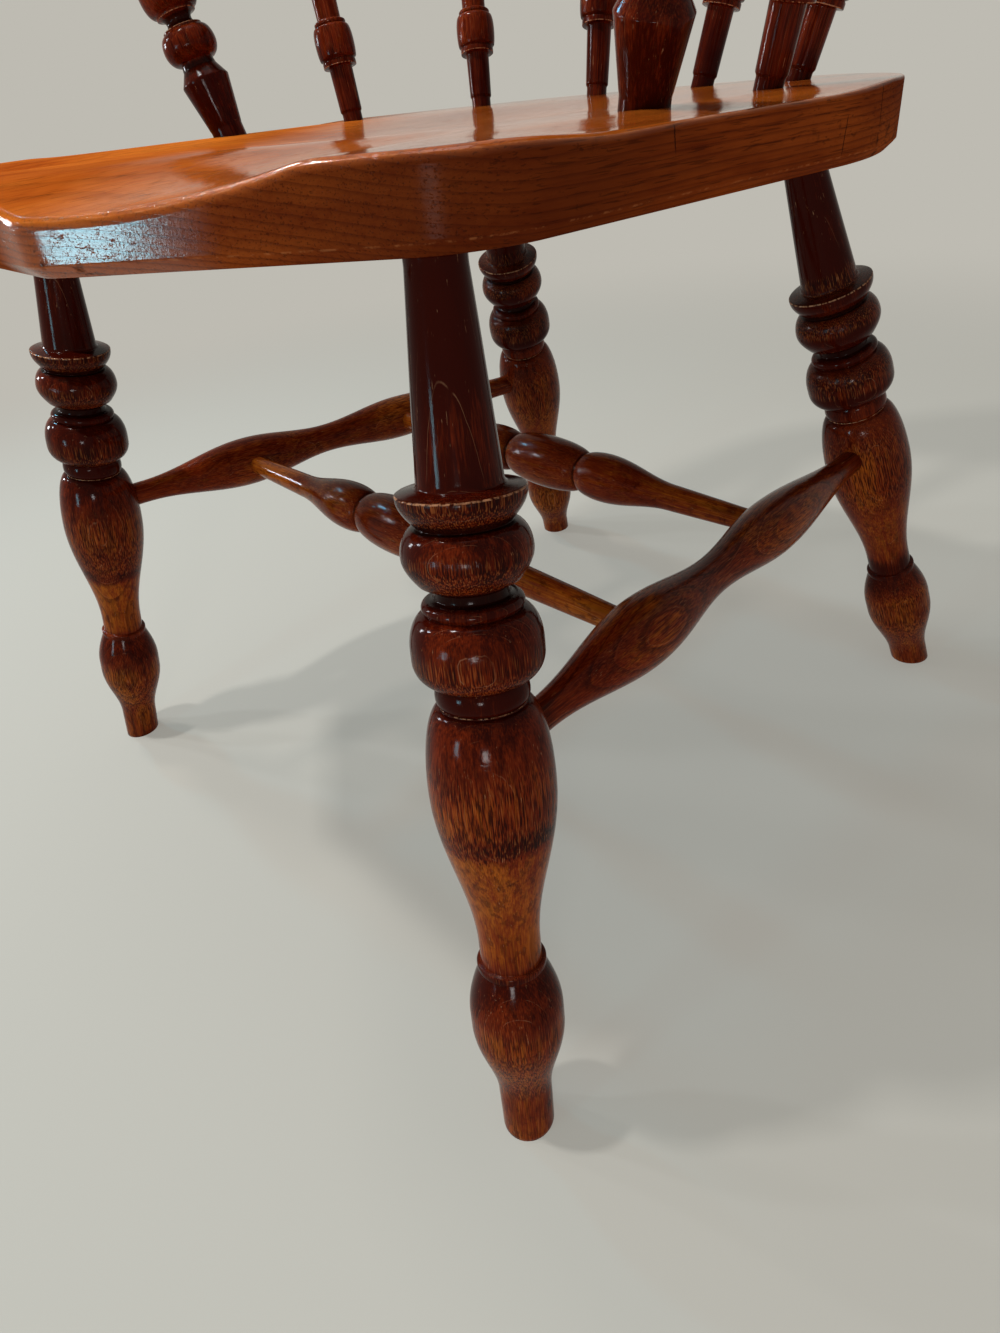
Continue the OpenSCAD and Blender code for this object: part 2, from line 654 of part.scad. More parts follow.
// One edge of the right half of the bow, so far outside its middle line
function bow_edge(off, last) = concat(
    arc(back_centre, bow_back_radius + off, 0, bow_back_angle, 8),
    arc(corner_centre, bow_corner_radius + off, bow_back_angle, last, 14));
function arm_point(ahead, out) = corner_centre + arm_out * (bow_corner_radius + out)
    + arm_ahead * ahead;
function backwards(points) = [for (i = [len(points) - 1 : -1 : 0]) points[i]];

// A smooth line through the hand's points, as [ahead of the arm, out from its middle line]
hand_points = [
    [-20, bow_width / 2], [0, bow_width / 2], [hand_length * 0.3, bow_width / 2 + 1],
    [hand_length * 0.53, bow_width / 2 + hand_flare * 0.6],
    [hand_length * 0.75, bow_width / 2 + hand_flare],
    [hand_length * 0.93, bow_width / 2 + hand_flare * 0.2],
    [hand_length, bow_width * 0.22], [hand_length * 0.94, -bow_width * 0.14],
    [hand_length * 0.74, -bow_width * 0.36], [hand_length * 0.45, -bow_width * 0.46],
    [hand_length * 0.2, -bow_width * 0.49], [0, -bow_width / 2], [-20, -bow_width / 2]];
function smooth(p, i, t) = 0.5 * (2 * p[i] + (p[i + 1] - p[i - 1]) * t
    + (2 * p[i - 1] - 5 * p[i] + 4 * p[i + 1] - p[i + 2]) * t * t
    + (3 * p[i] - p[i - 1] - 3 * p[i + 1] + p[i + 2]) * t * t * t);
function hand_outline() = [for (i = [1 : len(hand_points) - 3], k = [0 : 4])
    let (p = smooth(hand_points, i, k / 5)) arm_point(arm_length + p[0], p[1])];
function bow_outline() = concat(bow_edge(bow_width / 2, bow_arm_angle), hand_outline(),
    [arm_point(arm_length, -bow_width / 2)],
    backwards(bow_edge(-bow_width / 2, bow_arm_angle)));

// Middle of a stump's top, level with the top of the arm
function arm_top(side) = stump_place(side) + stump_way(side)
    * (arm_rise + bow_thickness / cos(seat_slope)) / (1 + slope * stump_way(side)[1]);

module arm_bow(side) color([0.45, 0.19, 0.07]) centred() difference() {
    on_slope(arm_rise) difference() {
        mirror([side == left ? 1 : 0, 0, 0]) intersection() {
            linear_extrude(bow_thickness) polygon(bow_outline());
            translate([fit / 2, -reach / 2, 0]) cube([reach, reach, bow_thickness]);
        }
        bow_dowel_shapes(dowel_diameter + 2 * fit, dowel_length + 2 * hole_end);
        for (a = screw_angles) screw_place(a) {
            hole(screw_diameter, -over, bow_thickness + over);
            screw_head(fit);
        }
    }
    aim(stump_place(side), stump_way(side))
        hole(stump_tenon_diameter, 0, reach / 2);
    for (row = [0 : 2]) aim(spindle_place(row, side), spindle_way(row, side))
        hole(spindle_tenon_diameter, upright_length(spindle_way(row, side)) - over * 2,
             upright_length(spindle_way(row, side)) + bow_tenon_length + hole_end);
}

// Crest rail

crest_steps = 36;
crest_fullness = 2;    // how long the crest stays high before it sweeps down
function crest_top(u) = crest_end_height
    + (crest_height - crest_end_height) * (1 + cos(180 * pow(abs(u), crest_fullness))) / 2;
crest_depth = 60;      // depth of the two leaning strips whose overlap is the crest
crest_last = 70;       // angle round the corners that the strips reach, past the crest's ends
function strip(from, to) = concat(
    backwards([for (p = bow_edge(to, crest_last)) [-p[0], p[1]]]), bow_edge(to, crest_last),
    backwards(bow_edge(from, crest_last)), [for (p = bow_edge(from, crest_last)) [-p[0], p[1]]]);
module leaning_strip(from, to, lean)
    translate([0, bow_back, 0]) rotate([-lean, 0, 0]) translate([0, -bow_back, -crest_depth])
        linear_extrude(crest_height * 2 + crest_depth) polygon(strip(from, to));
module crest_rail() color([0.43, 0.18, 0.07]) centred()
    on_slope(arm_rise) translate([0, 0, bow_thickness]) difference() {
        intersection() {
            leaning_strip(-crest_thickness / 2, crest_depth, crest_front_lean);
            leaning_strip(-crest_depth, crest_thickness / 2, crest_back_lean);
            translate([0, reach / 2, 0]) rotate([90, 0, 0]) linear_extrude(reach) polygon(concat(
                [for (i = [-crest_steps : crest_steps]) let (u = i / crest_steps)
                    [u * crest_length / 2, crest_top(u)]],
                [[crest_length / 2, fit], [-crest_length / 2, fit]]));
        }
        translate([0, 0, -bow_thickness]) for (a = screw_angles)
            screw_place(a) hole(screw_diameter, bow_thickness / 2, screw_length + hole_end);
    }

// Dowels, screws and wedges

dowel_forward = 1;     // how far in front of the bow's middle line the pair of dowels lies
module bow_dowel_shapes(diameter, length) for (side = [left, right])
    translate([-length / 2, bow_back - dowel_forward + side * dowel_spacing / 2,
               bow_thickness / 2])
        rotate([0, 90, 0]) cylinder(h = length, d = diameter, $fn = turn_steps);
module bow_dowels() color([0.70, 0.50, 0.30]) centred() on_slope(arm_rise)
    bow_dowel_shapes(dowel_diameter, dowel_length);

module screw_place(a) translate([back_centre[0] + bow_back_radius * sin(a),
                                 back_centre[1] + bow_back_radius * cos(a), 0]) children();
screw_head_height = 3;
screw_point = 8;       // length of a screw's point
slot_width = 1.2;
slot_depth = 1.4;
module screw_head(gap) rotate_extrude($fn = turn_steps) polygon([
    [0, -over], [screw_head_diameter / 2 + gap, -over], [screw_head_diameter / 2 + gap, 0],
    [screw_diameter / 2 + gap, screw_head_height], [0, screw_head_height]]);
module crest_screws() color([0.42, 0.40, 0.38]) centred() on_slope(arm_rise)
    for (a = screw_angles) screw_place(a) difference() {
        rotate_extrude($fn = turn_steps) polygon([
            [0, 0], [screw_head_diameter / 2, 0], [screw_diameter / 2, screw_head_height],
            [screw_diameter / 2, screw_length - screw_point], [0, screw_length]]);
        translate([-screw_head_diameter, -slot_width / 2, -over])
            cube([2 * screw_head_diameter, slot_width, slot_depth + over]);
    }

// A wedge points down the stump's axis; its top is trimmed level with the arm
wedge_tip = 0.4;
module wedge_shape(half, gap) translate([-bow_thickness, 0, 0]) rotate([90, 0, 90])
    linear_extrude(2 * bow_thickness) polygon([
        [-half - gap - over * 0.1, over], [half + gap + over * 0.1, over],
        [wedge_tip / 2 + gap, -wedge_depth - gap], [-wedge_tip / 2 - gap, -wedge_depth - gap]]);
module stump_wedges() color([0.66, 0.42, 0.22]) centred() difference() {
    for (side = [left, right]) aim(arm_top(side), stump_way(side)) intersection() {
        wedge_shape(wedge_width / 2, 0);
        translate([0, 0, -wedge_depth])
            cylinder(h = wedge_depth * 2, d = stump_tenon_diameter, $fn = turn_steps);
    }
    above_slope(arm_rise + bow_thickness / cos(seat_slope));
}

seat();
leg(true, left);  // leg_front_left
leg(true, right);  // leg_front_right
leg(false, left);  // leg_back_left
leg(false, right);  // leg_back_right
side_stretcher(left);  // side_stretcher_left
side_stretcher(right);  // side_stretcher_right
cross_stretcher(front_swell_place);  // cross_stretcher_front
cross_stretcher(back_swell_place);  // cross_stretcher_back
arm_stump(left);  // arm_stump_left
arm_stump(right);  // arm_stump_right
spindle(0, left);  // spindle_front_left
spindle(0, right);  // spindle_front_right
spindle(1, left);  // spindle_middle_left
spindle(1, right);  // spindle_middle_right
spindle(2, left);  // spindle_back_left
spindle(2, right);  // spindle_back_right
arm_bow(left);  // arm_bow_left
arm_bow(right);  // arm_bow_right
crest_rail();
bow_dowels();
crest_screws();
stump_wedges();
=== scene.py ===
import math
import bmesh
import bpy
from mathutils import Matrix, Vector, noise


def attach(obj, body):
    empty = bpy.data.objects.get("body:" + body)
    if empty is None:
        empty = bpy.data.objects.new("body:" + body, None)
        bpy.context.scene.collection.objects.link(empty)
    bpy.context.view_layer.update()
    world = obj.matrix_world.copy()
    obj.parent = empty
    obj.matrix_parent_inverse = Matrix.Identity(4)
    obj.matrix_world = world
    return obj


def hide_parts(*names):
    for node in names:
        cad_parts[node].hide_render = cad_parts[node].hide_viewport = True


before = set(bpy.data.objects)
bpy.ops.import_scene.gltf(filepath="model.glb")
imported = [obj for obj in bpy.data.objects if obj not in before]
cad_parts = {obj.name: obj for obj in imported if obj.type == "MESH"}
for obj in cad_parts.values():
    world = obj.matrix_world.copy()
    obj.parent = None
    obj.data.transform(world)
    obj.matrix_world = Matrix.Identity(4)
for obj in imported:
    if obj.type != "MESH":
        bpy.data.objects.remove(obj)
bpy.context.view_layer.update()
print("frame loaded with", len(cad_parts), "nodes")

mm = 0.001
left = -1
right = 1

# The chair's own plane: the seat's top and the arm bow slope down to the back together
chair = {
    "middleBack": 15.5,       # the row's origin lies this far behind the seat's middle
    "seatHeight": 443.0,
    "seatThickness": 31.5,
    "slope": 3.05,            # degrees
    "armRise": 222.0,         # underside of the bow above the seat
    "bowThickness": 27.0,
}


def tanDeg(angle):
    return math.tan(math.radians(angle))


slope = tanDeg(chair["slope"])             # how much the plane falls for each millimetre backwards


def smoothStep(low, high, value):
    t = min(1.0, max(0.0, (value - low) / (high - low)))
    return t * t * (3 - 2 * t)


def mix(a, b, t):
    return a + (b - a) * t


# Equal steps from 0 to 1, with or without both ends
def shares(count, inner=False):
    return [k / count for k in (range(1, count) if inner else range(count + 1))]


def seatTop(y):
    return chair["seatHeight"] - slope * y


def seatUnder(y):
    return seatTop(y) - chair["seatThickness"] / math.cos(math.radians(chair["slope"]))


def rowPoint(point):
    return Vector((point[0], point[1] - chair["middleBack"], point[2])) * mm


# Where the picture is taken from: metres, degrees, and pixels of a picture 1333 tall
view = {"place": (0.46987, -0.38667, 0.47781), "yaw": 52.719, "down": 35.637, "roll": -9.070,
        "focal": 871.35, "tall": 1333.0, "sensor": 36.0}

# Millimetres in the chair's plane become metres in the row's frame
planeMatrix = (Matrix.Translation(rowPoint((0, 0, chair["seatHeight"])))
               @ Matrix.Rotation(math.radians(-chair["slope"]), 4, "X"))
# The same plane raised to the underside of the bow
bowMatrix = Matrix.Translation((0, 0, chair["armRise"] * mm)) @ planeMatrix


def newObject(name, data):
    made = bpy.data.objects.new(name, data)
    bpy.context.scene.collection.objects.link(made)
    return made


def makePiece(name, points, faces, matrix):
    mesh = bpy.data.meshes.new(name)
    mesh.from_pydata(points, [], faces)
    mesh.validate()
    work = bmesh.new()
    work.from_mesh(mesh)
    bmesh.ops.recalc_face_normals(work, faces=work.faces)      # all faces look outwards
    work.to_mesh(mesh)
    work.free()
    for polygon in mesh.polygons:
        polygon.use_smooth = True
    piece = newObject(name, mesh)
    piece.matrix_world = matrix
    bpy.context.view_layer.update()
    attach(piece, "root")
    return piece


# The piece takes the place of a solid, which is hidden
def standIn(node):
    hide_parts(node)


def setAttribute(piece, name, values):
    layer = piece.data.attributes.new(name, "FLOAT", "POINT")
    layer.data.foreach_set("value", values)


# How far each place belongs to the top, an arris and the underside, for a board's finish
def flagPiece(piece, flags):
    for i, name in enumerate(("top", "arris", "under")):
        setAttribute(piece, name, [f[i] for f in flags])


# Successive rings with the same number of points, closed round and capped at both ends
def ringSolid(rings, firstCap, lastCap):
    count = len(rings[0])
    points = [p for ring in rings for p in ring]
    faces = []
    for a in range(0, len(points) - count, count):
        b = a + count
        for i in range(count):
            j = (i + 1) % count
            faces.append((a + i, a + j, b + j, b + i))
    last = len(points) - count
    for cap, base, turned in ((firstCap, 0, True), (lastCap, last, False)):
        points.append(cap)
        tip = len(points) - 1
        for i in range(count):
            j = (i + 1) % count
            faces.append((tip, base + j, base + i) if turned else (tip, base + i, base + j))
    return points, faces


def ringMiddle(ring):
    return tuple(sum((Vector(p) for p in ring), Vector()) / len(ring))


# Sizes in millimetres, bends in degrees
lathe = {
    "around": 96, "pitch": 1.6, "curveSteps": 8, "worn": 0.45, "sharpBend": 14.0, "arrisBend": (30.0, 60.0),
    "grooveSpan": 7.0, "grooveDepth": (0.8, 5.0), "outOfRound": 0.16, "wobbleAround": 0.7,
    "wobbleAlong": 0.02, "wobbleSeed": 7.3,
}


# The sizes of turned pieces are (height, diameter, how the outline runs up to it), straight where they
# don't say. Falling ones are measured down from the length. Stations hold radii
def stationsOf(rising, falling, length):
    line = [*rising, *((length - height, *rest) for height, *rest in falling)]
    return [(height, diameter / 2, *shape) for height, diameter, *shape in line]


def shapeOf(station):
    return station[2] if len(station) > 2 else "straight"


# Points of a turned outline from one station to the next, along and out from the axis
def stretchPoints(a, b):
    dh, dr, shape = b[0] - a[0], b[1] - a[1], shapeOf(b)
    count = max(1, math.ceil(math.hypot(dh, dr) / lathe["pitch"]))
    if shape != "straight":
        count = max(count, lathe["curveSteps"])
    points = []
    for i in range(1, count + 1):
        t = i / count
        s, c = math.sin(math.pi / 2 * t), 1 - math.cos(math.pi / 2 * t)
        full = (shape == "round") == (dr > 0)
        if shape == "straight":
            points.append((a[0] + dh * t, a[1] + dr * t))
        elif shape == "ogee":
            points.append((a[0] + dh * t, a[1] + dr * (1 - math.cos(math.pi * t)) / 2))
        elif shape == "swell":
            points.append((a[0] + dh * t, a[1] + dr * (s if dr > 0 else c)))
        else:
            points.append((a[0] + dh * (c if full else s), a[1] + dr * (s if full else c)))
    return points


# Arrises and the bottoms of grooves are a little rounded by use; the third number marks an arris
def turnedOutline(stations):
    line = [stations[0][:2]]
    for a, b in zip(stations, stations[1:]):
        line += stretchPoints(a, b)
    soft = [(*line[0], 0.0)]
    for before, here, after in zip(line, line[1:], line[2:]):
        p = Vector(here)
        u, v = Vector(before) - p, Vector(after) - p
        if u.length < 1e-6 or v.length < 1e-6:
            continue
        bend = math.degrees(math.pi - u.angle(v))
        if bend < lathe["sharpBend"]:
            soft.append((*here, 0.0))
            continue
        outward = u.x * v.y - u.y * v.x > 0
        a = p + u.normalized() * min(lathe["worn"], 0.4 * u.length)
        c = p + v.normalized() * min(lathe["worn"], 0.4 * v.length)
        for t in (0, 0.5, 1):
            q = a * (1 - t) ** 2 + p * 2 * t * (1 - t) + c * t ** 2
            soft.append((q.x, q.y, smoothStep(*lathe["arrisBend"], bend) if outward else 0.0))
    return soft + [(*line[-1], 0.0)]


# How deep each place of a turned outline lies in a groove, and how sharp it is. The groove depth later
# darkens the wood, partly as grime and partly as painted shade
def outlineGrooveAndArris(line):
    grimeAndShade, span = [], lathe["grooveSpan"]
    for h, r, sharp in line:
        below = max(q[1] for q in line if h - span <= q[0] <= h)
        above = max(q[1] for q in line if h <= q[0] <= h + span)
        grimeAndShade.append(smoothStep(*lathe["grooveDepth"], min(below, above) - r))
    return {"grimeAndShade": grimeAndShade, "arris": [sharp for h, r, sharp in line]}


# Values at a height, from stops that are (height, value, value)
def fromStops(stops, h):
    for a, b in zip(stops, stops[1:]):
        if h <= b[0]:
            t = max(0.0, (h - a[0]) / (b[0] - a[0]))
            return [mix(p, q, t) for p, q in zip(a[1:], b[1:])]
    return stops[-1][1:]


def axisMatrix(place, way):
    return Matrix.Translation(rowPoint(place)) @ Vector(way).to_track_quat("Z", "Y").to_matrix().to_4x4()


def turnPiece(name, stations, place, way, tones, seed, cutFloor=0.0, cutTop=None):
    line = turnedOutline(stations)
    wear = outlineGrooveAndArris(line)
    wear["tone"], wear["open"] = zip(*(fromStops(tones, h) for h, r, sharp in line))
    matrix = axisMatrix(place, way)
    turned = matrix.to_3x3()
    up = turned.transposed() @ Vector((0, 0, 1))                  # the row's up, in the piece's frame
    around, across = lathe["around"], lathe["wobbleAround"]
    rings = []
    for h, r, sharp in line:
        ring = []
        for i in range(around):
            a = 2 * math.pi * i / around
            spot = Vector((math.cos(a) * across, math.sin(a) * across,
                           h * lathe["wobbleAlong"] + seed * lathe["wobbleSeed"]))
            radius = r + lathe["outOfRound"] * noise.noise(spot)
            x, y, z = radius * math.cos(a), radius * math.sin(a), h
            level = (x * up.x + y * up.y) / up.z
            if cutFloor and h < cutFloor:                         # the foot is cut level with the floor
                z = h - level * (1 - h / cutFloor)
            if cutTop and h > cutTop[0]:                          # a top is cut level with the arm
                below, end = cutTop[0], line[-1][0]
                top = cutTop[1] + slope * (turned @ Vector((x, y, 0))).y * -1 / up.z - level
                z = below + (top - below) * (h - below) / (end - below)
            ring.append((x * mm, y * mm, z * mm))
        rings.append(ring)
    points, faces = ringSolid(rings, ringMiddle(rings[0]), ringMiddle(rings[-1]))
    piece = makePiece(name, points, faces, matrix)
    for key, values in wear.items():
        setAttribute(piece, key, [v for v in values for i in range(around)] + [0.0, 0.0])
    return piece


leg = {
    # Where they leave the seat, their lean out and back in degrees, and how much is cut off the foot
    "front": {"spacing": 408.8, "back": -168.6, "splay": 7.6, "rake": -9.75, "trim": 0.0},
    "back": {"spacing": 280.6, "back": 163.2, "splay": 10.5, "rake": 14.35, "trim": 12.3},
    "rising": (
        (0, 27.8), (24, 28.4), (72, 48.0, "ogee"), (81, 48.0),                     # foot, ankle and bulb
        (108.7, 33.6, "swell"), (110.2, 34.8, "round"), (111.7, 34.8), (113.2, 30.6, "round"),
        (124, 30.6), (212, 58.2, "ogee"), (253.85, 38.6, "round"), (254.6, 38.6),   # waist and vase
        (254.6, 37.1), (258.8, 41.4, "round"), (265.55, 36.9, "round"),             # small ring
        (276.5, 56.8, "round"), (281, 56.8), (296.6, 40.2, "round"),                # lower ring
        (297.05, 41.7), (299, 43.2, "swell"), (302, 37.2, "round"),                 # disc
        (303.5, 31.6, "hollow"), (306.5, 31.6), (309.5, 43.2),                      # neck
        (321, 54.2, "swell"), (332.8, 39.1, "round"),                               # upper ring
        (344.5, 52.6, "swell"), (346, 52.6), (347.5, 37.8), (350.5, 34.8, "hollow")),   # collar
    "falling": ((5, 23.4), (-6, 23.4)),                                             # tenon
}


def legPlace(end, side):
    y = leg[end]["back"]
    return Vector((side * leg[end]["spacing"] / 2, y, seatUnder(y)))


def legWay(end, side):
    return Vector((-side * tanDeg(leg[end]["splay"]), -tanDeg(leg[end]["rake"]), 1))


def legFoot(end, side):
    place = legPlace(end, side)
    return place - legWay(end, side) * place.z


def legPoint(end, side, height):
    return legFoot(end, side) + legWay(end, side).normalized() * height


# The back legs are of the same pattern, with less foot
def trimmed(stations, trim):
    if trim == 0:
        return stations
    moved = [(station[0] - trim, *station[1:]) for station in stations]
    foot, ankle = moved[0], moved[1]
    t = -foot[0] / (ankle[0] - foot[0])
    return [(0, mix(foot[1], ankle[1], t))] + moved[1:]


# Heights along a piece, how light the stain is there (0 is deep, 1 is amber), and how open the pores are. The
# legs' table also holds painted shade, darkest just under the two rings
legTonesWithShade = ((0, 0.70, 0.5), (26, 0.70, 0.6), (34, 0.58, 0.7), (48, 0.72, 0.8), (78, 0.66, 0.75),
            (87, 0.30, 0.4), (106, 0.04, 0.1), (112, 0.22, 0.5), (117, 0.55, 0.4), (160, 0.68, 0.35),
            (178, 0.66, 0.7), (184, 0.60, 1.0), (218, 0.58, 0.95), (232, 0.34, 0.4), (250, 0.28, 0.1),
            (255, 0.06, 0.0), (264, 0.02, 0.0), (267, 0.30, 0.9), (278, 0.26, 0.9), (286, 0.16, 0.2),
            (295, 0.10, 0.0), (297, 0.04, 0.0), (308, 0.00, 0.0), (310, 0.28, 0.95), (320, 0.22, 0.9),
            (326, 0.14, 0.2), (333, 0.06, 0.0), (335, 0.18, 0.7), (345, 0.12, 0.95), (347, 0.02, 0.1),
            (352, 0.00, 0.1), (385, -0.08, 0.1))
sideNames = {left: "left", right: "right"}
legs = {}
for end, side in (("front", left), ("front", right), ("back", left), ("back", right)):
    name = "leg_" + end + "_" + sideNames[side]
    foot = legFoot(end, side)
    length = (legPlace(end, side) - foot).length
    trim = leg[end]["trim"]
    stations = trimmed(stationsOf(leg["rising"], leg["falling"], length + trim), trim)
    piece = turnPiece(name + "_turned", stations, foot, legWay(end, side), legTonesWithShade, seed=len(legs) + 1,
                      cutFloor=leg["rising"][1][0] - trim)
    standIn(name)
    legs[name] = piece
print("legs turned")

stretcher = {
    "jointFront": 226.0, "jointBack": 208.0, "sideTenon": 17.0, "sideShort": 8.0, "sideClear": 36.0,
    "frontSwell": 38.4, "backSwell": 36.0, "sideMiddle": 23.0, "frontPlace": 124.0, "backPlace": 271.0,
    # From the middle out, then from the side stretcher back: bead, arrow and tenon
    "bead": 39.0, "crossRising": ((36, 25.0, "round"), (38, 25.0), (58, 35.0, "round"), (122, 18.0, "ogee")),
    "crossFalling": ((24, 14.6), (4, 14.6)),
}


def sideLine(side):
    start = legPoint("front", side, stretcher["jointFront"])
    finish = legPoint("back", side, stretcher["jointBack"])
    return start, (finish - start).normalized(), (finish - start).length


sideTones = ((0, 0.40, 0.4), (60, 0.50, 0.4), (120, 0.60, 0.6), (200, 0.45, 0.5), (270, 0.75, 0.6),
             (330, 0.60, 0.4), (400, 0.40, 0.4))
crossTones = ((-170, 0.80, 0.3), (-90, 0.65, 0.4), (-40, 0.50, 0.5), (0, 0.52, 0.5), (40, 0.50, 0.5),
              (90, 0.65, 0.4), (170, 0.80, 0.3))
stretchers = {}
s = stretcher
for side in (left, right):
    start, way, length = sideLine(side)
    rising = ((s["sideShort"], s["sideTenon"]), (s["sideClear"], s["sideTenon"]),
              (s["frontPlace"], s["frontSwell"], "ogee"),
              ((s["frontPlace"] + s["backPlace"]) / 2, s["sideMiddle"], "ogee"),
              (s["backPlace"], s["backSwell"], "ogee"))
    falling = ((s["sideClear"], s["sideTenon"], "ogee"), (s["sideShort"], s["sideTenon"]))
    stations = stationsOf(rising, falling, length)
    name = "side_stretcher_" + sideNames[side]
    stretchers[name] = turnPiece(name + "_turned", stations, start, way, sideTones, seed=10 + side)
start, way, length = sideLine(right)
for end in ("front", "back"):
    point = start + way * s[end + "Place"]
    reach = point.x
    oneHalf = stationsOf(s["crossRising"], s["crossFalling"], reach)
    shapes = [shapeOf(station) for station in oneHalf[1:]] + ["straight"]
    otherHalf = [(-station[0], station[1], shape) for station, shape in zip(oneHalf, shapes)][::-1]
    name = "cross_stretcher_" + end
    stretchers[name] = turnPiece(
        name + "_turned", otherHalf + [(0, s["bead"] / 2, "round")] + oneHalf,
        point - Vector((reach, 0, 0)), (1, 0, 0), crossTones, seed=20 + s[end + "Place"])
for name, piece in stretchers.items():
    standIn(name)
print("stretchers turned")

stump = {
    "across": 186.3, "back": -32.5, "splay": 15.1, "rake": -4.7, "tenon": 22.4, "proud": 0.35,
    "tenonCut": 6.0,
    "rising": (
        (-8, 22.4), (5, 22.4), (6.5, 23.2), (34, 33.0), (42, 23.5),                # tenon and shoulder
        (46, 22.0), (55, 36.4, "round"), (64, 26.8, "round"), (65.6, 26.8),        # bun and disc
        (69.4, 17.2, "hollow"), (73.2, 26.8, "hollow"), (74.8, 26.8), (86, 37.4, "round")),   # cove and vase
    "falling": (
        (79, 21.6, "ogee"), (77.5, 24.6), (75.9, 24.6),                            # neck
        (67.8, 17.2, "hollow"), (64, 21.4, "hollow"),                              # cove
        (55, 31.0, "round"), (46, 21.4, "round"), (44.5, 26.2),                    # upper bun
        (6.5, 23.2), (5, 22.4)),                                                   # shoulder and tenon
}


# How long an upright is along its own axis, for a rise over the seat
def uprightLength(way, rise):
    return rise / (1 + slope * way.y) * way.length


spindle = {
    "across": (180.0, 138.0, 47.0), "back": (68.0, 160.5, 193.0), "splay": (12.2, 12.4, 7.2),
    "rake": (4.2, 14.0, 17.0), "barrelHeight": (34.0, 34.0, 42.0), "swell": 20.4, "tenon": 14.4,
    "rising": ((-6, 14.4), (5, 14.4), (6.5, 16.2)),
    # Up from the barrel's foot, with a scored line near each end
    "barrel": ((0, 17.2), (0.8, 24.6, "hollow"), (4, 24.6), (4.8, 23.0), (5.6, 26.2), (15.582, 28.6, "round"),
               (25.4, 24.6, "round"), (26.2, 21.4), (27.8, 23.0, "round"), (29.4, 17.2, "round")),
    "falling": ((5, 14.4, "ogee"), (-6, 14.4)),
}


def spindleStations(length, row):
    s = spindle
    foot = s["barrelHeight"][row]
    barrel = [(foot + height, *rest) for height, *rest in s["barrel"]]
    middle = ((barrel[-1][0] + length) / 2, s["swell"], "ogee")
    return stationsOf([*s["rising"], *barrel, middle], s["falling"], length)


# Where an upright leaves the seat, its direction, and its length up to the bow
def uprightLine(side, across, y, splay, rake):
    way = Vector((side * tanDeg(splay), tanDeg(rake), 1))
    return Vector((side * across, y, seatTop(y))), way, uprightLength(way, chair["armRise"])


uprightTones = ((0, 0.10, 0.3), (30, 0.18, 0.3), (60, 0.28, 0.4), (110, 0.25, 0.3), (170, 0.32, 0.3),
                (225, 0.18, 0.3))
uprights = {}
bases = []                                    # where each upright stands on the seat, for its grime
bowTop = chair["armRise"] + chair["bowThickness"] / math.cos(math.radians(chair["slope"]))
for side in (left, right):
    place, way, length = uprightLine(side, *(stump[key] for key in ("across", "back", "splay", "rake")))
    top = uprightLength(way, bowTop) + stump["proud"]
    cut = top - stump["tenonCut"]
    stations = stationsOf(stump["rising"], stump["falling"], length)
    stations += [(h, stump["tenon"] / 2) for h in (cut, top)]
    name = "arm_stump_" + sideNames[side]
    piece = turnPiece(name + "_turned", stations, place, way, uprightTones, seed=30 + side, cutTop=(cut, top))
    standIn(name)
    uprights[name] = piece
    bases.append((place, stump["tenon"] / 2))
    for row, label in enumerate(("front", "middle", "back")):
        place, way, length = uprightLine(
            side, *(spindle[key][row] for key in ("across", "back", "splay", "rake")))
        name = "spindle_" + label + "_" + sideNames[side]
        piece = turnPiece(name + "_turned", spindleStations(length, row), place, way, uprightTones,
                          seed=40 + 3 * side + row)
        standIn(name)
        uprights[name] = piece
        bases.append((place, spindle["tenon"] / 2))
print("stumps and spindles turned")

seat = {
    "width": 476.0, "front": 269.0, "back": 241.0, "nose": 187.0, "shoulderForward": 172.0,
    "sideBack": 125.0, "backEdge": 226.0, "noseRound": 20.0, "shoulderRound": 60.0, "backRound": 177.0,
    "bevel": 5.0, "dishRadius": 168.0, "dishDepth": 6.0, "thighDepth": 11.5, "thighWidth": 160.0,
    "thighSpacing": 240.0, "thighRun": 205.0, "blend": 1.6, "spacing": 3.2, "arcSteps": 24,
    # The top arris: its radius, shares of it everywhere, by wear at the front, and by chance
    "edgeRound": 2.6, "edgeLeast": 0.75, "edgeWorn": 0.9, "edgeUneven": 0.5, "wornFrom": (40.0, -260.0),
    "unevenScale": 0.021, "unevenSeed": 3.1,
    # The hollow that hands have worn along the sides
    "rimDepth": 2.6, "rimAcross": (48.0, 4.0), "rimFront": (-160.0, -105.0), "rimBack": (100.0, 30.0),
    # Rings of points across the top, round its arris, down the side, and in bevels from there to below
    "inwardRings": 44, "inwardCrowd": 1.15, "inwardReach": 0.985,
    "edgeInsets": (0.0, 0.35, 0.9, 1.7, 2.6, 3.8, 5.5, 8.0, 11.0),
    "sideSteps": (0.04, 0.16, 0.34, 0.52, 0.70, 0.86, 0.96, 1.0), "underSteps": (0.015, 0.2, 0.5, 0.8),
    "bevelRings": ((0.10, 0.88, 0.7), (0.24, 0.72, 0.0), (0.86, 0.14, 0.0), (0.96, 0.06, 0.3),
                   (1.08, 0.0, 0.0)),
}


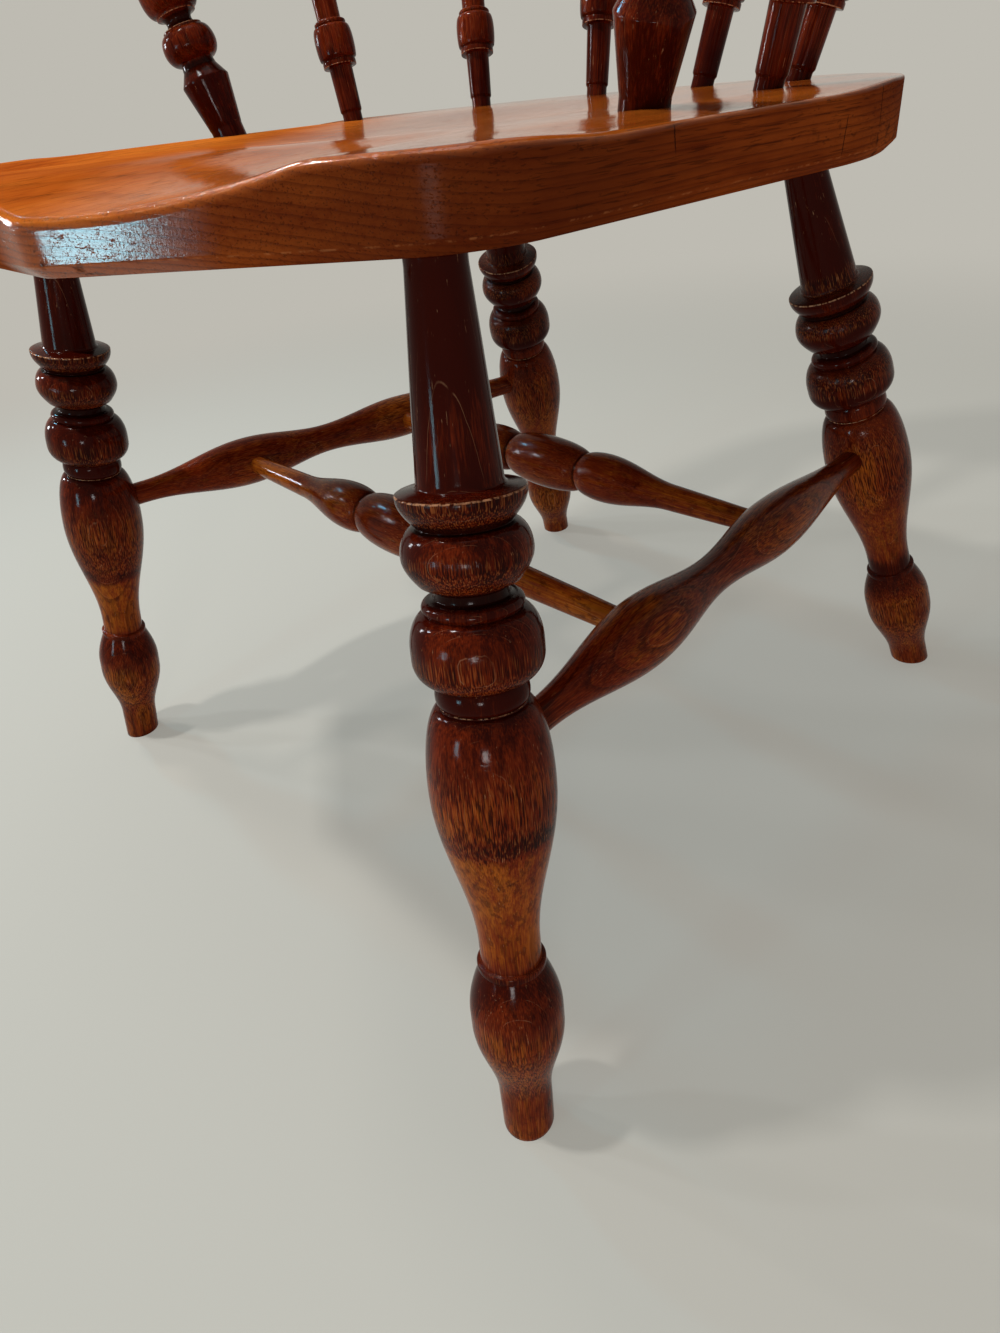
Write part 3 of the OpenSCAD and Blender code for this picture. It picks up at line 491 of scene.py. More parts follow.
# Corners are (x, y, radius); each becomes an arc that touches both its sides
def roundedOutline(corners, steps):
    line = []
    for i, (x, y, radius) in enumerate(corners):
        p = Vector((x, y))
        u = (Vector(corners[i - 1][:2]) - p).normalized()
        v = (Vector(corners[(i + 1) % len(corners)][:2]) - p).normalized()
        half = u.angle(v) / 2
        middle = p + (u + v).normalized() * radius / math.sin(half)
        first = p + u * radius / math.tan(half) - middle
        last = p + v * radius / math.tan(half) - middle
        a = math.atan2(first.y, first.x)
        turn = (math.atan2(last.y, last.x) - a + 3 * math.pi) % (2 * math.pi) - math.pi
        for k in range(steps + 1):
            b = a + turn * k / steps
            line.append(middle + Vector((math.cos(b), math.sin(b))) * radius)
    return line


def resampled(line, spacing, closed=True):
    points = line + [line[0]] if closed else line
    lengths = [0.0]
    for a, b in zip(points, points[1:]):
        lengths.append(lengths[-1] + (b - a).length)
    count = max(2, round(lengths[-1] / spacing))
    made, k = [], 0
    for i in range(count if closed else count + 1):
        target = lengths[-1] * i / count
        while k < len(points) - 2 and lengths[k + 1] < target:
            k += 1
        span = lengths[k + 1] - lengths[k]
        made.append(points[k].lerp(points[k + 1], (target - lengths[k]) / span if span else 0))
    return made


def insetLine(line, inset):
    made = []
    for i, p in enumerate(line):
        along = (line[(i + 1) % len(line)] - line[i - 1]).normalized()
        made.append(p + Vector((-along.y, along.x)) * inset)
    return made


def softLeast(a, b, blend):
    t = min(1.0, max(0.0, 0.5 + 0.5 * (b - a) / blend))
    return mix(b, a, t) - blend * t * (1 - t)


def saddle(x, y):
    t = math.hypot(x, y) / seat["dishRadius"]
    level = -seat["dishDepth"] * (1 - t * t) ** 2 if t < 1 else 0.0
    radius = ((seat["thighWidth"] / 2) ** 2 + seat["thighDepth"] ** 2) / (2 * seat["thighDepth"])
    depth = seat["thighDepth"] * (1 - (y + seat["front"]) / seat["thighRun"])
    for side in (left, right):
        across = x - side * seat["thighSpacing"] / 2
        if abs(across) < radius:
            trough = radius - math.sqrt(radius ** 2 - across ** 2) - depth
            level = softLeast(level, trough, seat["blend"])
    return level


def seatSide(side):
    s = seat
    return [(side * s["nose"] / 2, -s["front"], s["noseRound"]),
            (side * s["width"] / 2, -s["shoulderForward"], s["shoulderRound"]),
            (side * s["width"] / 2, s["sideBack"], s["backRound"]),
            (side * s["backEdge"] / 2, s["back"], s["backRound"])]


seatCorners = seatSide(right) + seatSide(left)[::-1]
seatLine = resampled(roundedOutline(seatCorners, seat["arcSteps"]), seat["spacing"])


# How rounded the top arris is: more where hands and legs have worn the front
def arrisRound(x, y):
    s = seat
    chance = noise.noise(Vector((x * s["unevenScale"], y * s["unevenScale"], s["unevenSeed"])))
    return s["edgeRound"] * (s["edgeLeast"] + s["edgeWorn"] * smoothStep(*s["wornFrom"], y)
                             + s["edgeUneven"] * chance)


# The top is worn lower along the sides, where people take hold of it
def wornTop(x, y):
    s = seat
    reach = s["width"] / 2 - abs(x)
    return saddle(x, y) - s["rimDepth"] * (
        smoothStep(*s["rimAcross"], reach) * smoothStep(*s["rimFront"], y) * smoothStep(*s["rimBack"], y))


def buildSeat():
    s, thick = seat, chair["seatThickness"]
    rings, flags = [], []

    def addRing(ring, top=0.0, arris=0.0, under=0.0):
        rings.append([(x * mm, y * mm, z * mm) for x, y, z in ring])
        flags.extend([(top, arris, under)] * len(ring))
    inner = insetLine(seatLine, s["edgeInsets"][-1])
    for k in range(s["inwardRings"], 0, -1):                  # from the middle out to the last inset
        t = 1 - (k / s["inwardRings"]) ** s["inwardCrowd"] * s["inwardReach"]
        addRing([(q.x, q.y, wornTop(q.x, q.y)) for q in (p * t for p in inner)], top=1.0)
    for inset in reversed(s["edgeInsets"]):
        ring = []
        for p, q in zip(seatLine, insetLine(seatLine, inset)):
            r = arrisRound(p.x, p.y)
            drop = r - math.sqrt(max(0.0, r * r - (r - inset) ** 2)) if inset < r else 0.0
            ring.append((q.x, q.y, wornTop(q.x, q.y) - drop))
        addRing(ring, top=smoothStep(0.0, 0.8, inset), arris=1.0 if 0.5 < inset < 1.0 else 0.0)
    for t in s["sideSteps"]:
        addRing([(p.x, p.y, mix(wornTop(p.x, p.y) - arrisRound(p.x, p.y), s["bevel"] - thick, t))
                 for p in seatLine], arris=0.75 if t == 1.0 else 0.0)
    for inset, level, arris in s["bevelRings"]:
        inner = insetLine(seatLine, inset * s["bevel"])
        addRing([(q.x, q.y, level * s["bevel"] - thick) for q in inner], arris=arris)
    for t in s["underSteps"]:
        addRing([(q.x * (1 - t), q.y * (1 - t), -thick) for q in inner], under=1.0)
    points, faces = ringSolid(rings, (0, 0, saddle(0, 0) * mm), (0, 0, -thick * mm))
    piece = makePiece("seat_plank", points, faces, planeMatrix)
    flagPiece(piece, flags + [flags[0], flags[-1]])
    standIn("seat")
    return piece


seatPiece = buildSeat()
print("seat sawn and saddled")

bow = {
    "width": 60.0, "back": 270.0, "backRadius": 400.0, "cornerRadius": 140.0, "backAngle": 19.0,
    "armAngle": 81.0, "arm": 178.0, "hand": 104.0, "flare": 13.0, "edgeRound": 5.0, "tipRound": 9.0,
    "jointGap": 0.12, "backSteps": 24, "cornerSteps": 36, "armSteps": 30, "curveSteps": 12, "handSteps": 44,
    "handFine": 0.25, "acrossSteps": 12, "roundSteps": 5, "upSteps": 3,
    # The outline round the hand: along in its lengths, out in the bow's widths, and out in flares
    "handPoints": ((0.0, 0.5, 0.0), (0.3, 0.5, 0.077), (0.53, 0.5, 0.6), (0.75, 0.5, 1.0), (0.93, 0.5, 0.2),
                   (1.0, 0.22, 0.0), (0.94, -0.14, 0.0), (0.74, -0.36, 0.0), (0.45, -0.46, 0.0),
                   (0.2, -0.49, 0.0), (0.0, -0.5, 0.0)), "handLead": 20.0,
}


# A direction in the chair's plane, in degrees from straight back round to the right
def toward(angle):
    return Vector((math.sin(math.radians(angle)), math.cos(math.radians(angle))))


backCentre = Vector((0, bow["back"] - bow["backRadius"]))
cornerCentre = backCentre + toward(bow["backAngle"]) * (bow["backRadius"] - bow["cornerRadius"])
armOut = toward(bow["armAngle"])
armAhead = Vector((armOut.y, -armOut.x))


def armPoint(ahead, out):
    return cornerCentre + armOut * (bow["cornerRadius"] + out) + armAhead * ahead


def smoothPoint(p, i, t):
    return 0.5 * (2 * p[i] + (p[i + 1] - p[i - 1]) * t
                  + (2 * p[i - 1] - 5 * p[i] + 4 * p[i + 1] - p[i + 2]) * t * t
                  + (3 * p[i] - p[i - 1] - 3 * p[i + 1] + p[i + 2]) * t * t * t)


# The hand's outer and inner edge, both from the arm to the tip
def handEdges():
    b, steps = bow, bow["curveSteps"]
    p = [Vector((b["hand"] * along, b["width"] * out + b["flare"] * flared))
         for along, out, flared in b["handPoints"]]
    lead = Vector((-b["handLead"], 0))
    p = [p[0] + lead] + p + [p[-1] + lead]
    line = [smoothPoint(p, i, k / steps) for i in range(1, len(p) - 2) for k in range(steps)] + [p[-2]]
    tip = max(range(len(line)), key=lambda i: line[i].x)
    edge = [armPoint(b["arm"] + q.x, q.y) for q in line]
    return edge[:tip + 1], edge[tip:][::-1]


# Points that crowd towards the line's end
def crowded(line, count):
    fine = resampled(line, bow["handFine"], closed=False)
    made = []
    for k in range(1, count + 1):
        at = (len(fine) - 1) * math.sin(math.pi / 2 * k / count)
        i = min(int(at), len(fine) - 2)
        made.append(fine[i].lerp(fine[i + 1], at - i))
    return made


# Matching points along the outer and inner edge of the right half, from the joint to the hand's tip
def bowStations():
    b, edges = bow, []
    for off, hand in zip((b["width"] / 2, -b["width"] / 2), handEdges()):
        line = [backCentre + toward(b["backAngle"] * t) * (b["backRadius"] + off)
                for t in shares(b["backSteps"])[:-1]]
        line += [cornerCentre + toward(mix(b["backAngle"], b["armAngle"], t)) * (b["cornerRadius"] + off)
                 for t in shares(b["cornerSteps"])]
        line += [armPoint(b["arm"] * t, off) for t in shares(b["armSteps"], inner=True)]
        edges.append(line + crowded(hand, b["handSteps"]))
    return list(zip(*edges))


# How far a rounded end draws in, at this distance from its tip
def endDraw(ahead, radius, share=0.9):
    return share * (radius - math.sqrt(radius ** 2 - (radius - ahead) ** 2)) if ahead < radius else 0.0


# A rounded rectangle: each point is (place across, height, flags)
def sectionLoop(width, height, radius):
    radius = min(radius, width * 0.49, height * 0.49)
    far, high = width - radius, height - radius
    loop = []

    def corner(cx, cz, start, top):
        for t in shares(bow["roundSteps"]):
            a = start + math.pi / 2 * t
            over = (t if start == 0 else 1 - t) if top else 0.0
            loop.append((cx + radius * math.cos(a), cz + radius * math.sin(a),
                         (over, math.sin(math.pi * t) * (0.8 if top else 0.6), 0.0)))

    def flat(first, last, steps, flag):
        for t in shares(steps, inner=True):
            loop.append((mix(first[0], last[0], t), mix(first[1], last[1], t), flag))
    corner(radius, radius, math.pi, False)
    flat((radius, 0), (far, 0), bow["acrossSteps"], (0.0, 0.0, 1.0))
    corner(far, radius, -math.pi / 2, False)
    flat((width, radius), (width, high), bow["upSteps"], (0.0, 0.0, 0.0))
    corner(far, high, 0, True)
    flat((far, height), (radius, height), bow["acrossSteps"], (1.0, 0.0, 0.0))
    corner(radius, high, math.pi / 2, True)
    flat((0, high), (0, radius), bow["upSteps"], (0.0, 0.0, 0.0))
    return loop


# A board with the same flags round every ring; its ends have none
def makeBoard(name, node, rings, caps, flags, matrix):
    piece = makePiece(name, *ringSolid(rings, *caps), matrix)
    flagPiece(piece, flags * len(rings) + [(0.0, 0.0, 0.0)] * 2)
    standIn(node)
    return piece


def buildBow(side):
    thick = chair["bowThickness"]
    pairs = bowStations()
    tip = pairs[-1][0]
    rings = []
    for k, (outer, inner) in enumerate(pairs[:-1]):
        width = (outer - inner).length
        if width < 0.5:
            break
        draw = endDraw((tip - (outer + inner) / 2).length, bow["tipRound"])
        loop = sectionLoop(width, thick - 2 * draw, bow["edgeRound"])
        gap = bow["jointGap"] if k == 0 else 0
        ring = []
        for across, z, flag in loop:
            p = inner.lerp(outer, across / width)
            ring.append((side * (p.x + gap) * mm, p.y * mm, (z + draw) * mm))
        rings.append(ring)
    joint = (pairs[0][0] + pairs[0][1]) / 2
    caps = [(side * x * mm, y * mm, thick / 2 * mm) for x, y in ((bow["jointGap"], joint.y), tip)]
    name = "arm_bow_" + sideNames[side]
    return makeBoard(name + "_sawn", name, rings, caps, [flag for across, z, flag in loop], bowMatrix)


bows = {side: buildBow(side) for side in (left, right)}
print("arm bow sawn")

crest = {
    "height": 98.0, "endHeight": 14.0, "length": 384.0, "thickness": 42.0, "frontLean": 11.0,
    "backLean": 2.0, "topRound": 10.0, "endRound": 5.0, "stations": 120, "faceSteps": 16, "roundSteps": 8,
    "flatSteps": 6,
}


def bowLine(x, off):
    radius = bow["backRadius"] + off
    split = radius * math.sin(math.radians(bow["backAngle"]))
    if abs(x) <= split:
        return backCentre.y + math.sqrt(radius ** 2 - x ** 2) - bow["back"]
    corner = bow["cornerRadius"] + off
    return cornerCentre.y + math.sqrt(max(0.0, corner ** 2 - (abs(x) - cornerCentre.x) ** 2)) - bow["back"]


def crestTop(u):
    return crest["endHeight"] + (crest["height"] - crest["endHeight"]) * (1 + math.cos(math.pi * u * u)) / 2


def buildCrest():
    c, rings = crest, []
    half = c["length"] / 2
    frontTan, backTan = tanDeg(c["frontLean"]), tanDeg(c["backLean"])
    for k in range(c["stations"] + 1):
        u = math.sin(math.pi / 2 * mix(-1, 1, k / c["stations"]))
        x = u * half
        top = crestTop(u) - endDraw(half - abs(x), c["endRound"])
        front = bowLine(x, -c["thickness"] / 2) / math.cos(math.radians(c["frontLean"]))
        back = bowLine(x, c["thickness"] / 2) / math.cos(math.radians(c["backLean"]))
        thick = (back + top * backTan) - (front + top * frontTan)
        radius = min(c["topRound"], top * 0.8, thick * 0.46)
        low = top - radius
        topFront, topBack = front + top * frontTan + radius, back + top * backTan - radius
        faces = [[(foot + low * t * lean, low * t, (0.0, 0.0, 0.0)) for t in shares(c["faceSteps"])]
                 for foot, lean in ((front, frontTan), (back, backTan))]
        rounds = [[(middle + reach * math.cos(math.pi / 2 * t), low + radius * math.sin(math.pi / 2 * t),
                    (t, 0.5 * math.sin(math.pi * t), 0.0)) for t in shares(c["roundSteps"], inner=True)]
                  for middle, reach in ((topFront, -radius), (topBack, radius))]
        flat = [(mix(topFront, topBack, t), top, (1.0, 0.0, 0.0)) for t in shares(c["flatSteps"])]
        below = [(mix(back, front, t), 0, (0.0, 0.0, 1.0)) for t in shares(c["flatSteps"], inner=True)]
        loop = faces[0] + rounds[0] + flat + rounds[1][::-1] + faces[1][::-1] + below
        rings.append([(x * mm, (y + bow["back"]) * mm, z * mm) for y, z, flag in loop])
    seated = bowMatrix @ Matrix.Translation((0, 0, chair["bowThickness"] * mm))
    return makeBoard("crest_rail_shaped", "crest_rail", rings, (ringMiddle(rings[0]), ringMiddle(rings[-1])),
                     [flag for y, z, flag in loop], seated)


crestPiece = buildCrest()
print("crest rail shaped")


class Wire:
    # A value on its way through a material; sums on it add Math nodes
    def __init__(self, finish, socket):
        self.finish = finish
        self.socket = socket

    def sum(self, operation, a, b=None):
        inputs = {i: value for i, value in enumerate((a, b)) if value is not None}
        return self.finish.add("ShaderNodeMath", {"operation": operation}, inputs)

    def __add__(self, other):
        return self.sum("ADD", self, other)

    def __radd__(self, other):
        return self.sum("ADD", other, self)

    def __sub__(self, other):
        return self.sum("SUBTRACT", self, other)

    def __rsub__(self, other):
        return self.sum("SUBTRACT", other, self)

    def __mul__(self, other):
        return self.sum("MULTIPLY", self, other)

    def __rmul__(self, other):
        return self.sum("MULTIPLY", other, self)

    def __truediv__(self, other):
        return self.sum("DIVIDE", self, other)

    def part(self):
        return self.sum("FRACT", self)

    def most(self, other):
        return self.sum("MAXIMUM", self, other)

    def size(self):
        return self.sum("ABSOLUTE", self)

    # Runs smoothly from 0 at low to 1 at high, and stays there
    def ramp(self, low, high):
        return self.finish.add("ShaderNodeMapRange", {"interpolation_type": "SMOOTHSTEP", "clamp": True},
                               {"Value": self, "From Min": low, "From Max": high})

    # 1 at the middle, gone at this distance from it
    def near(self, middle, width):
        return (self - middle).size().ramp(width, 0.0)


class Finish:
    # The nodes of a new material, or of the world; the shift moves its noises
    def __init__(self, owner, shift=(0.0, 0.0, 0.0)):
        self.owner = bpy.data.materials.new(owner) if isinstance(owner, str) else owner
        self.owner.use_nodes = True
        self.tree = self.owner.node_tree
        self.tree.nodes.clear()
        self.shift = shift

    def add(self, kind, settings=None, inputs=None, output=0):
        node = self.tree.nodes.new(kind)
        for key, value in (settings or {}).items():
            setattr(node, key, value)
        for key, value in (inputs or {}).items():
            if isinstance(value, Wire):
                self.tree.links.new(value.socket, node.inputs[key])
            else:
                node.inputs[key].default_value = value
        return Wire(self, node.outputs[output]) if len(node.outputs) else None

    # Each noise is (how many to the metre along x, y and z), its detail and its roughness
    def noise(self, where, across, detail=2.0, rough=0.5, shift=None):
        spread = self.add("ShaderNodeVectorMath", {"operation": "MULTIPLY_ADD"},
                          {0: where, 1: across, 2: shift or self.shift})
        return self.add("ShaderNodeTexNoise", {"noise_dimensions": "3D"},
                        {"Vector": spread, "Scale": 1.0, "Detail": detail, "Roughness": rough})

    def noises(self, where, look, names):
        return [self.noise(where, *look[name]) for name in names.split()]

    def distance(self, where, point):
        return self.add("ShaderNodeVectorMath", {"operation": "DISTANCE"}, {0: where, 1: point}, 1)

    def blend(self, factor, a, b):
        return self.add("ShaderNodeMix", {"data_type": "RGBA"}, {0: factor, 6: a, 7: b}, 2)

    # Coats of colour, one over the other: where and how much of each, and which
    def coats(self, colour, look, *coats):
        for share, name in coats:
            colour = self.blend(share, colour, look[name])
        return colour

    def attribute(self, name):
        return self.add("ShaderNodeAttribute", {"attribute_name": name}, {}, 2)

    def where(self):
        return self.add("ShaderNodeTexCoord", {}, {}, 3)

    def joined(self, x, y, z):
        return self.add("ShaderNodeCombineXYZ", {}, {0: x, 1: y, 2: z})

    def parts(self, vector):
        first = self.add("ShaderNodeSeparateXYZ", {}, {0: vector})
        return [Wire(self, output) for output in first.socket.node.outputs]

    def bump(self, height, strength, distance):
        return self.add("ShaderNodeBump", {}, {"Height": height, "Strength": strength, "Distance": distance})

    def finish(self, inputs, others=None, factor=None):
        shader = self.add("ShaderNodeBsdfPrincipled", {}, inputs)
        if others:
            second = self.add("ShaderNodeBsdfPrincipled", {}, others)
            shader = self.add("ShaderNodeMixShader", {}, {0: factor, 1: shader, 2: second})
        self.add("ShaderNodeOutputMaterial", {}, {"Surface": shader})
        return self.owner


def rgb(red, green, blue):
    # A colour as it is seen on a screen, made linear
    def linear(c):
        c /= 255
        return c / 12.92 if c <= 0.04045 else ((c + 0.055) / 1.055) ** 2.4
    return (linear(red), linear(green), linear(blue), 1.0)


# Every piece has its own stretch of the noises
def seedShift(seed):
    return (seed * 1.37, seed * 0.71, seed * 2.13)


# Colours, sizes and strengths, then noises
turnedLook = {
    "deep": rgb(50, 7, 2), "middle": rgb(110, 34, 9), "light": rgb(166, 84, 19),
    # The grime colour darkens the pores and, as painted shade, the grooves; the bare colour is worn wood, and
    # on the arrises also a painted highlight
    "late": rgb(40, 7, 3), "fleck": rgb(176, 104, 52), "grimeAndShade": rgb(26, 5, 3), "bareAndHighlight": rgb(200, 142, 104),
    "ringWidth": 0.0033, "gloss": 0.09, "specular": 0.05, "bump": (0.20, 0.0005),
    "drift": ((9.0, 9.0, 4.0),), "fine": ((140.0, 140.0, 22.0), 3.0),
    "fibre": ((1400.0, 1400.0, 34.0), 2.0, 0.6), "streak": ((250.0, 250.0, 12.0),),
    "pores": ((1900.0, 1900.0, 105.0), 1.0), "cloud": ((30.0, 30.0, 17.0), 5.0, 0.62),
    "dirt": ((90.0, 90.0, 130.0), 4.0, 0.68), "wear": ((260.0, 260.0, 130.0), 3.0, 0.6),
    "chips": ((620.0, 620.0, 160.0), 1.0),
}


# Wood whose growth rings run along the piece's own Z, round a pith that lies beside it
def turnedWood(name, seed, pith, ringShow, tickShow, fringe):
    look = turnedLook
    m = Finish(name, seedShift(seed))
    place = m.where()
    x, y, z = m.parts(place)
    drift, fine, fibre, streak, pores, cloud, dirt, wear, chips = m.noises(
        place, look, "drift fine fibre streak pores cloud dirt wear chips")
    drift = (drift - 0.5) * 0.007
    radius = m.distance(m.joined(x + drift, y - drift, 0.0), (*pith, 0.0))
    phase = (radius / look["ringWidth"] + (fine - 0.5) * 0.30).part()
    late = phase.ramp(0.60, 0.97) * phase.ramp(1.0, 0.98)
    pale = phase.near(0.055, 0.022)
    # Groove depth, which darkens the grooves: partly grime, partly painted shade
    grimeAndShade = m.attribute("grimeAndShade")
    arris = m.attribute("arris").ramp(0.8, 1.0)
    tone = m.attribute("tone") + (cloud - 0.5) * 1.3 + (fibre - 0.5) * 0.9 + (streak - 0.5) * 0.8
    poreZone = (m.attribute("open") + (cloud - 0.5) * 0.9).ramp(0.10, 0.90)
    if fringe:                                        # old polish that ends in a ragged edge
        edge = z + (fibre - 0.5) * 0.014 + (cloud - 0.5) * 0.008
        bared = edge.ramp(fringe + 0.0015, fringe - 0.0015) * edge.ramp(fringe - 0.070, fringe - 0.060)
        tone = tone + bared * 0.18 - edge.near(fringe + 0.006, 0.009) * 0.40
        poreZone = poreZone * (1.0 - bared * 0.6)
    ticks = pores.ramp(0.49, 0.60) * poreZone * tickShow
    scuffs = dirt.ramp(0.56, 0.72) * cloud.ramp(0.56, 0.40)
    smudges = wear.ramp(0.52, 0.62) * tone.ramp(0.40, 0.70)
    nicks = pores.ramp(0.36, 0.30) * wear.ramp(0.58, 0.66)
    colour = m.coats(
        m.blend(tone.ramp(0.0, 0.62), look["deep"], look["middle"]), look,
        (tone.ramp(0.45, 1.15), "light"),
        (late * ringShow, "late"),
        (pores.ramp(0.43, 0.35) * poreZone * 0.25, "fleck"),
        (ticks, "grimeAndShade"),
        (pale * cloud.ramp(0.44, 0.56) * fine.ramp(0.44, 0.54) * 0.20, "bareAndHighlight"),
        (scuffs * 0.70, "deep"),
        (streak.ramp(0.54, 0.68) * 0.36, "deep"),
        (smudges * 0.50, "deep"),
        # Worn bare wood on the arrises, which also stands in as a painted highlight line
        (arris * wear.ramp(0.34, 0.54) * chips.ramp(0.36, 0.52) * 0.60, "bareAndHighlight"),
        (nicks * 0.28, "bareAndHighlight"),
        # Grime and painted shade in the grooves
        ((grimeAndShade * 1.2 - dirt * 0.30).ramp(0.02, 0.75) * 0.85, "grimeAndShade"))
    height = fibre * 0.25 - ticks * 0.7 - late * (0.22 * ringShow) + wear * 0.20 - scuffs * 0.3
    rough = look["gloss"] + dirt * 0.04 + ticks * 0.14 + grimeAndShade * 0.04
    return m.finish({"Base Color": colour, "Roughness": rough, "Specular IOR Level": look["specular"],
                     "Normal": m.bump(height, *look["bump"])})


def dress(piece, material):
    piece.data.materials.clear()
    piece.data.materials.append(material)


# The pith of each piece lies behind it, seen from the front right, so that the swellings show ovals
def pithOf(piece, distance, turn):
    seen = Vector(view["place"]) - piece.matrix_world.translation
    local = piece.matrix_world.to_3x3().transposed() @ seen
    a = math.atan2(local.y, local.x) + math.radians(turn)
    return (-distance * math.cos(a), -distance * math.sin(a))


# Where the polish on the front legs ends, which growth rings show most, and where the pores do
turnedPieces = {
    "fringe": {"leg_front_right": 0.188, "leg_front_left": 0.166},
    "rings": {"leg_front_left": 0.5, "side_stretcher_right": 0.5}, "otherRings": 0.14,
    "heavyTicks": 0.84, "otherTicks": 0.45,
    "pithAway": (0.048, 0.004, 4), "pithTurn": (-12, 7),        # the first, then how the others differ
}
for index, (name, piece) in enumerate([*legs.items(), *stretchers.items(), *uprights.items()]):
    t = turnedPieces
    (away, further, every), (turn, more) = t["pithAway"], t["pithTurn"]
    pith = pithOf(piece, away + further * (index % every), turn + more * index)
    ticks = t["heavyTicks"] if name.startswith(("leg", "side")) else t["otherTicks"]
    dress(piece, turnedWood(name + "_wood", index + 1, pith, t["rings"].get(name, t["otherRings"]),
                            ticks, t["fringe"].get(name)))
print("turned pieces stained")

plankLook = {
    "seatTop": (rgb(146, 60, 14), rgb(198, 106, 32)), "seatSide": (rgb(98, 34, 10), rgb(158, 74, 26)),
    "bowTop": (rgb(76, 24, 9), rgb(122, 50, 18)), "bowSide": (rgb(62, 18, 8), rgb(100, 38, 15)),
    # The grime colour darkens pores, scuffs and dents and, as painted shade, the joints round the uprights;
    # the bare colour is worn wood on the arrises and also a painted highlight there
    "under": (rgb(58, 26, 14), rgb(98, 54, 30)), "late": rgb(62, 20, 9), "grimeAndShade": rgb(14, 6, 5),
    "bareAndHighlight": rgb(206, 128, 76), "ringWidth": 0.0030, "gloss": 0.05, "specular": 0.40, "sideSpecular": 0.0,
    "leastGloss": 0.02, "bump": (0.25, 0.0006),
    "drift": ((5.0, 2.2, 5.0),), "fine": ((120.0, 20.0, 120.0), 3.0),
    "fibre": ((520.0, 9.0, 520.0), 4.0, 0.65),
    "pores": ((1400.0, 60.0, 1400.0), 1.0), "cloud": ((13.0, 8.0, 30.0), 5.0, 0.62),
    "dirt": ((80.0, 80.0, 80.0), 4.0, 0.68), "dents": ((130.0, 130.0, 380.0), 3.0, 0.7),
    "wear": ((240.0, 240.0, 240.0), 4.0, 0.65),
}
# Wear at the seat's front, in metres: dark corners, a dull left side, and gloss where the nose ends
seatUse = {
    "corner": (0.225, -0.150, 0.0), "cornerReach": (0.115, 0.02), "cornerShow": 0.60, "dull": -0.10,
    "dullBlend": 0.07, "nose": (0.112, -0.258, 0.0), "noseReach": (0.062, 0.030), "noseShow": 0.75,
}
# Drying cracks in the board's side: where along it, from which height to which, and how they lean
seatChecks = ((0.075, -0.020, 0.004, 0.1), (0.045, -0.0275, -0.010, -0.15), (-0.078, -0.014, 0.004, 0.1))


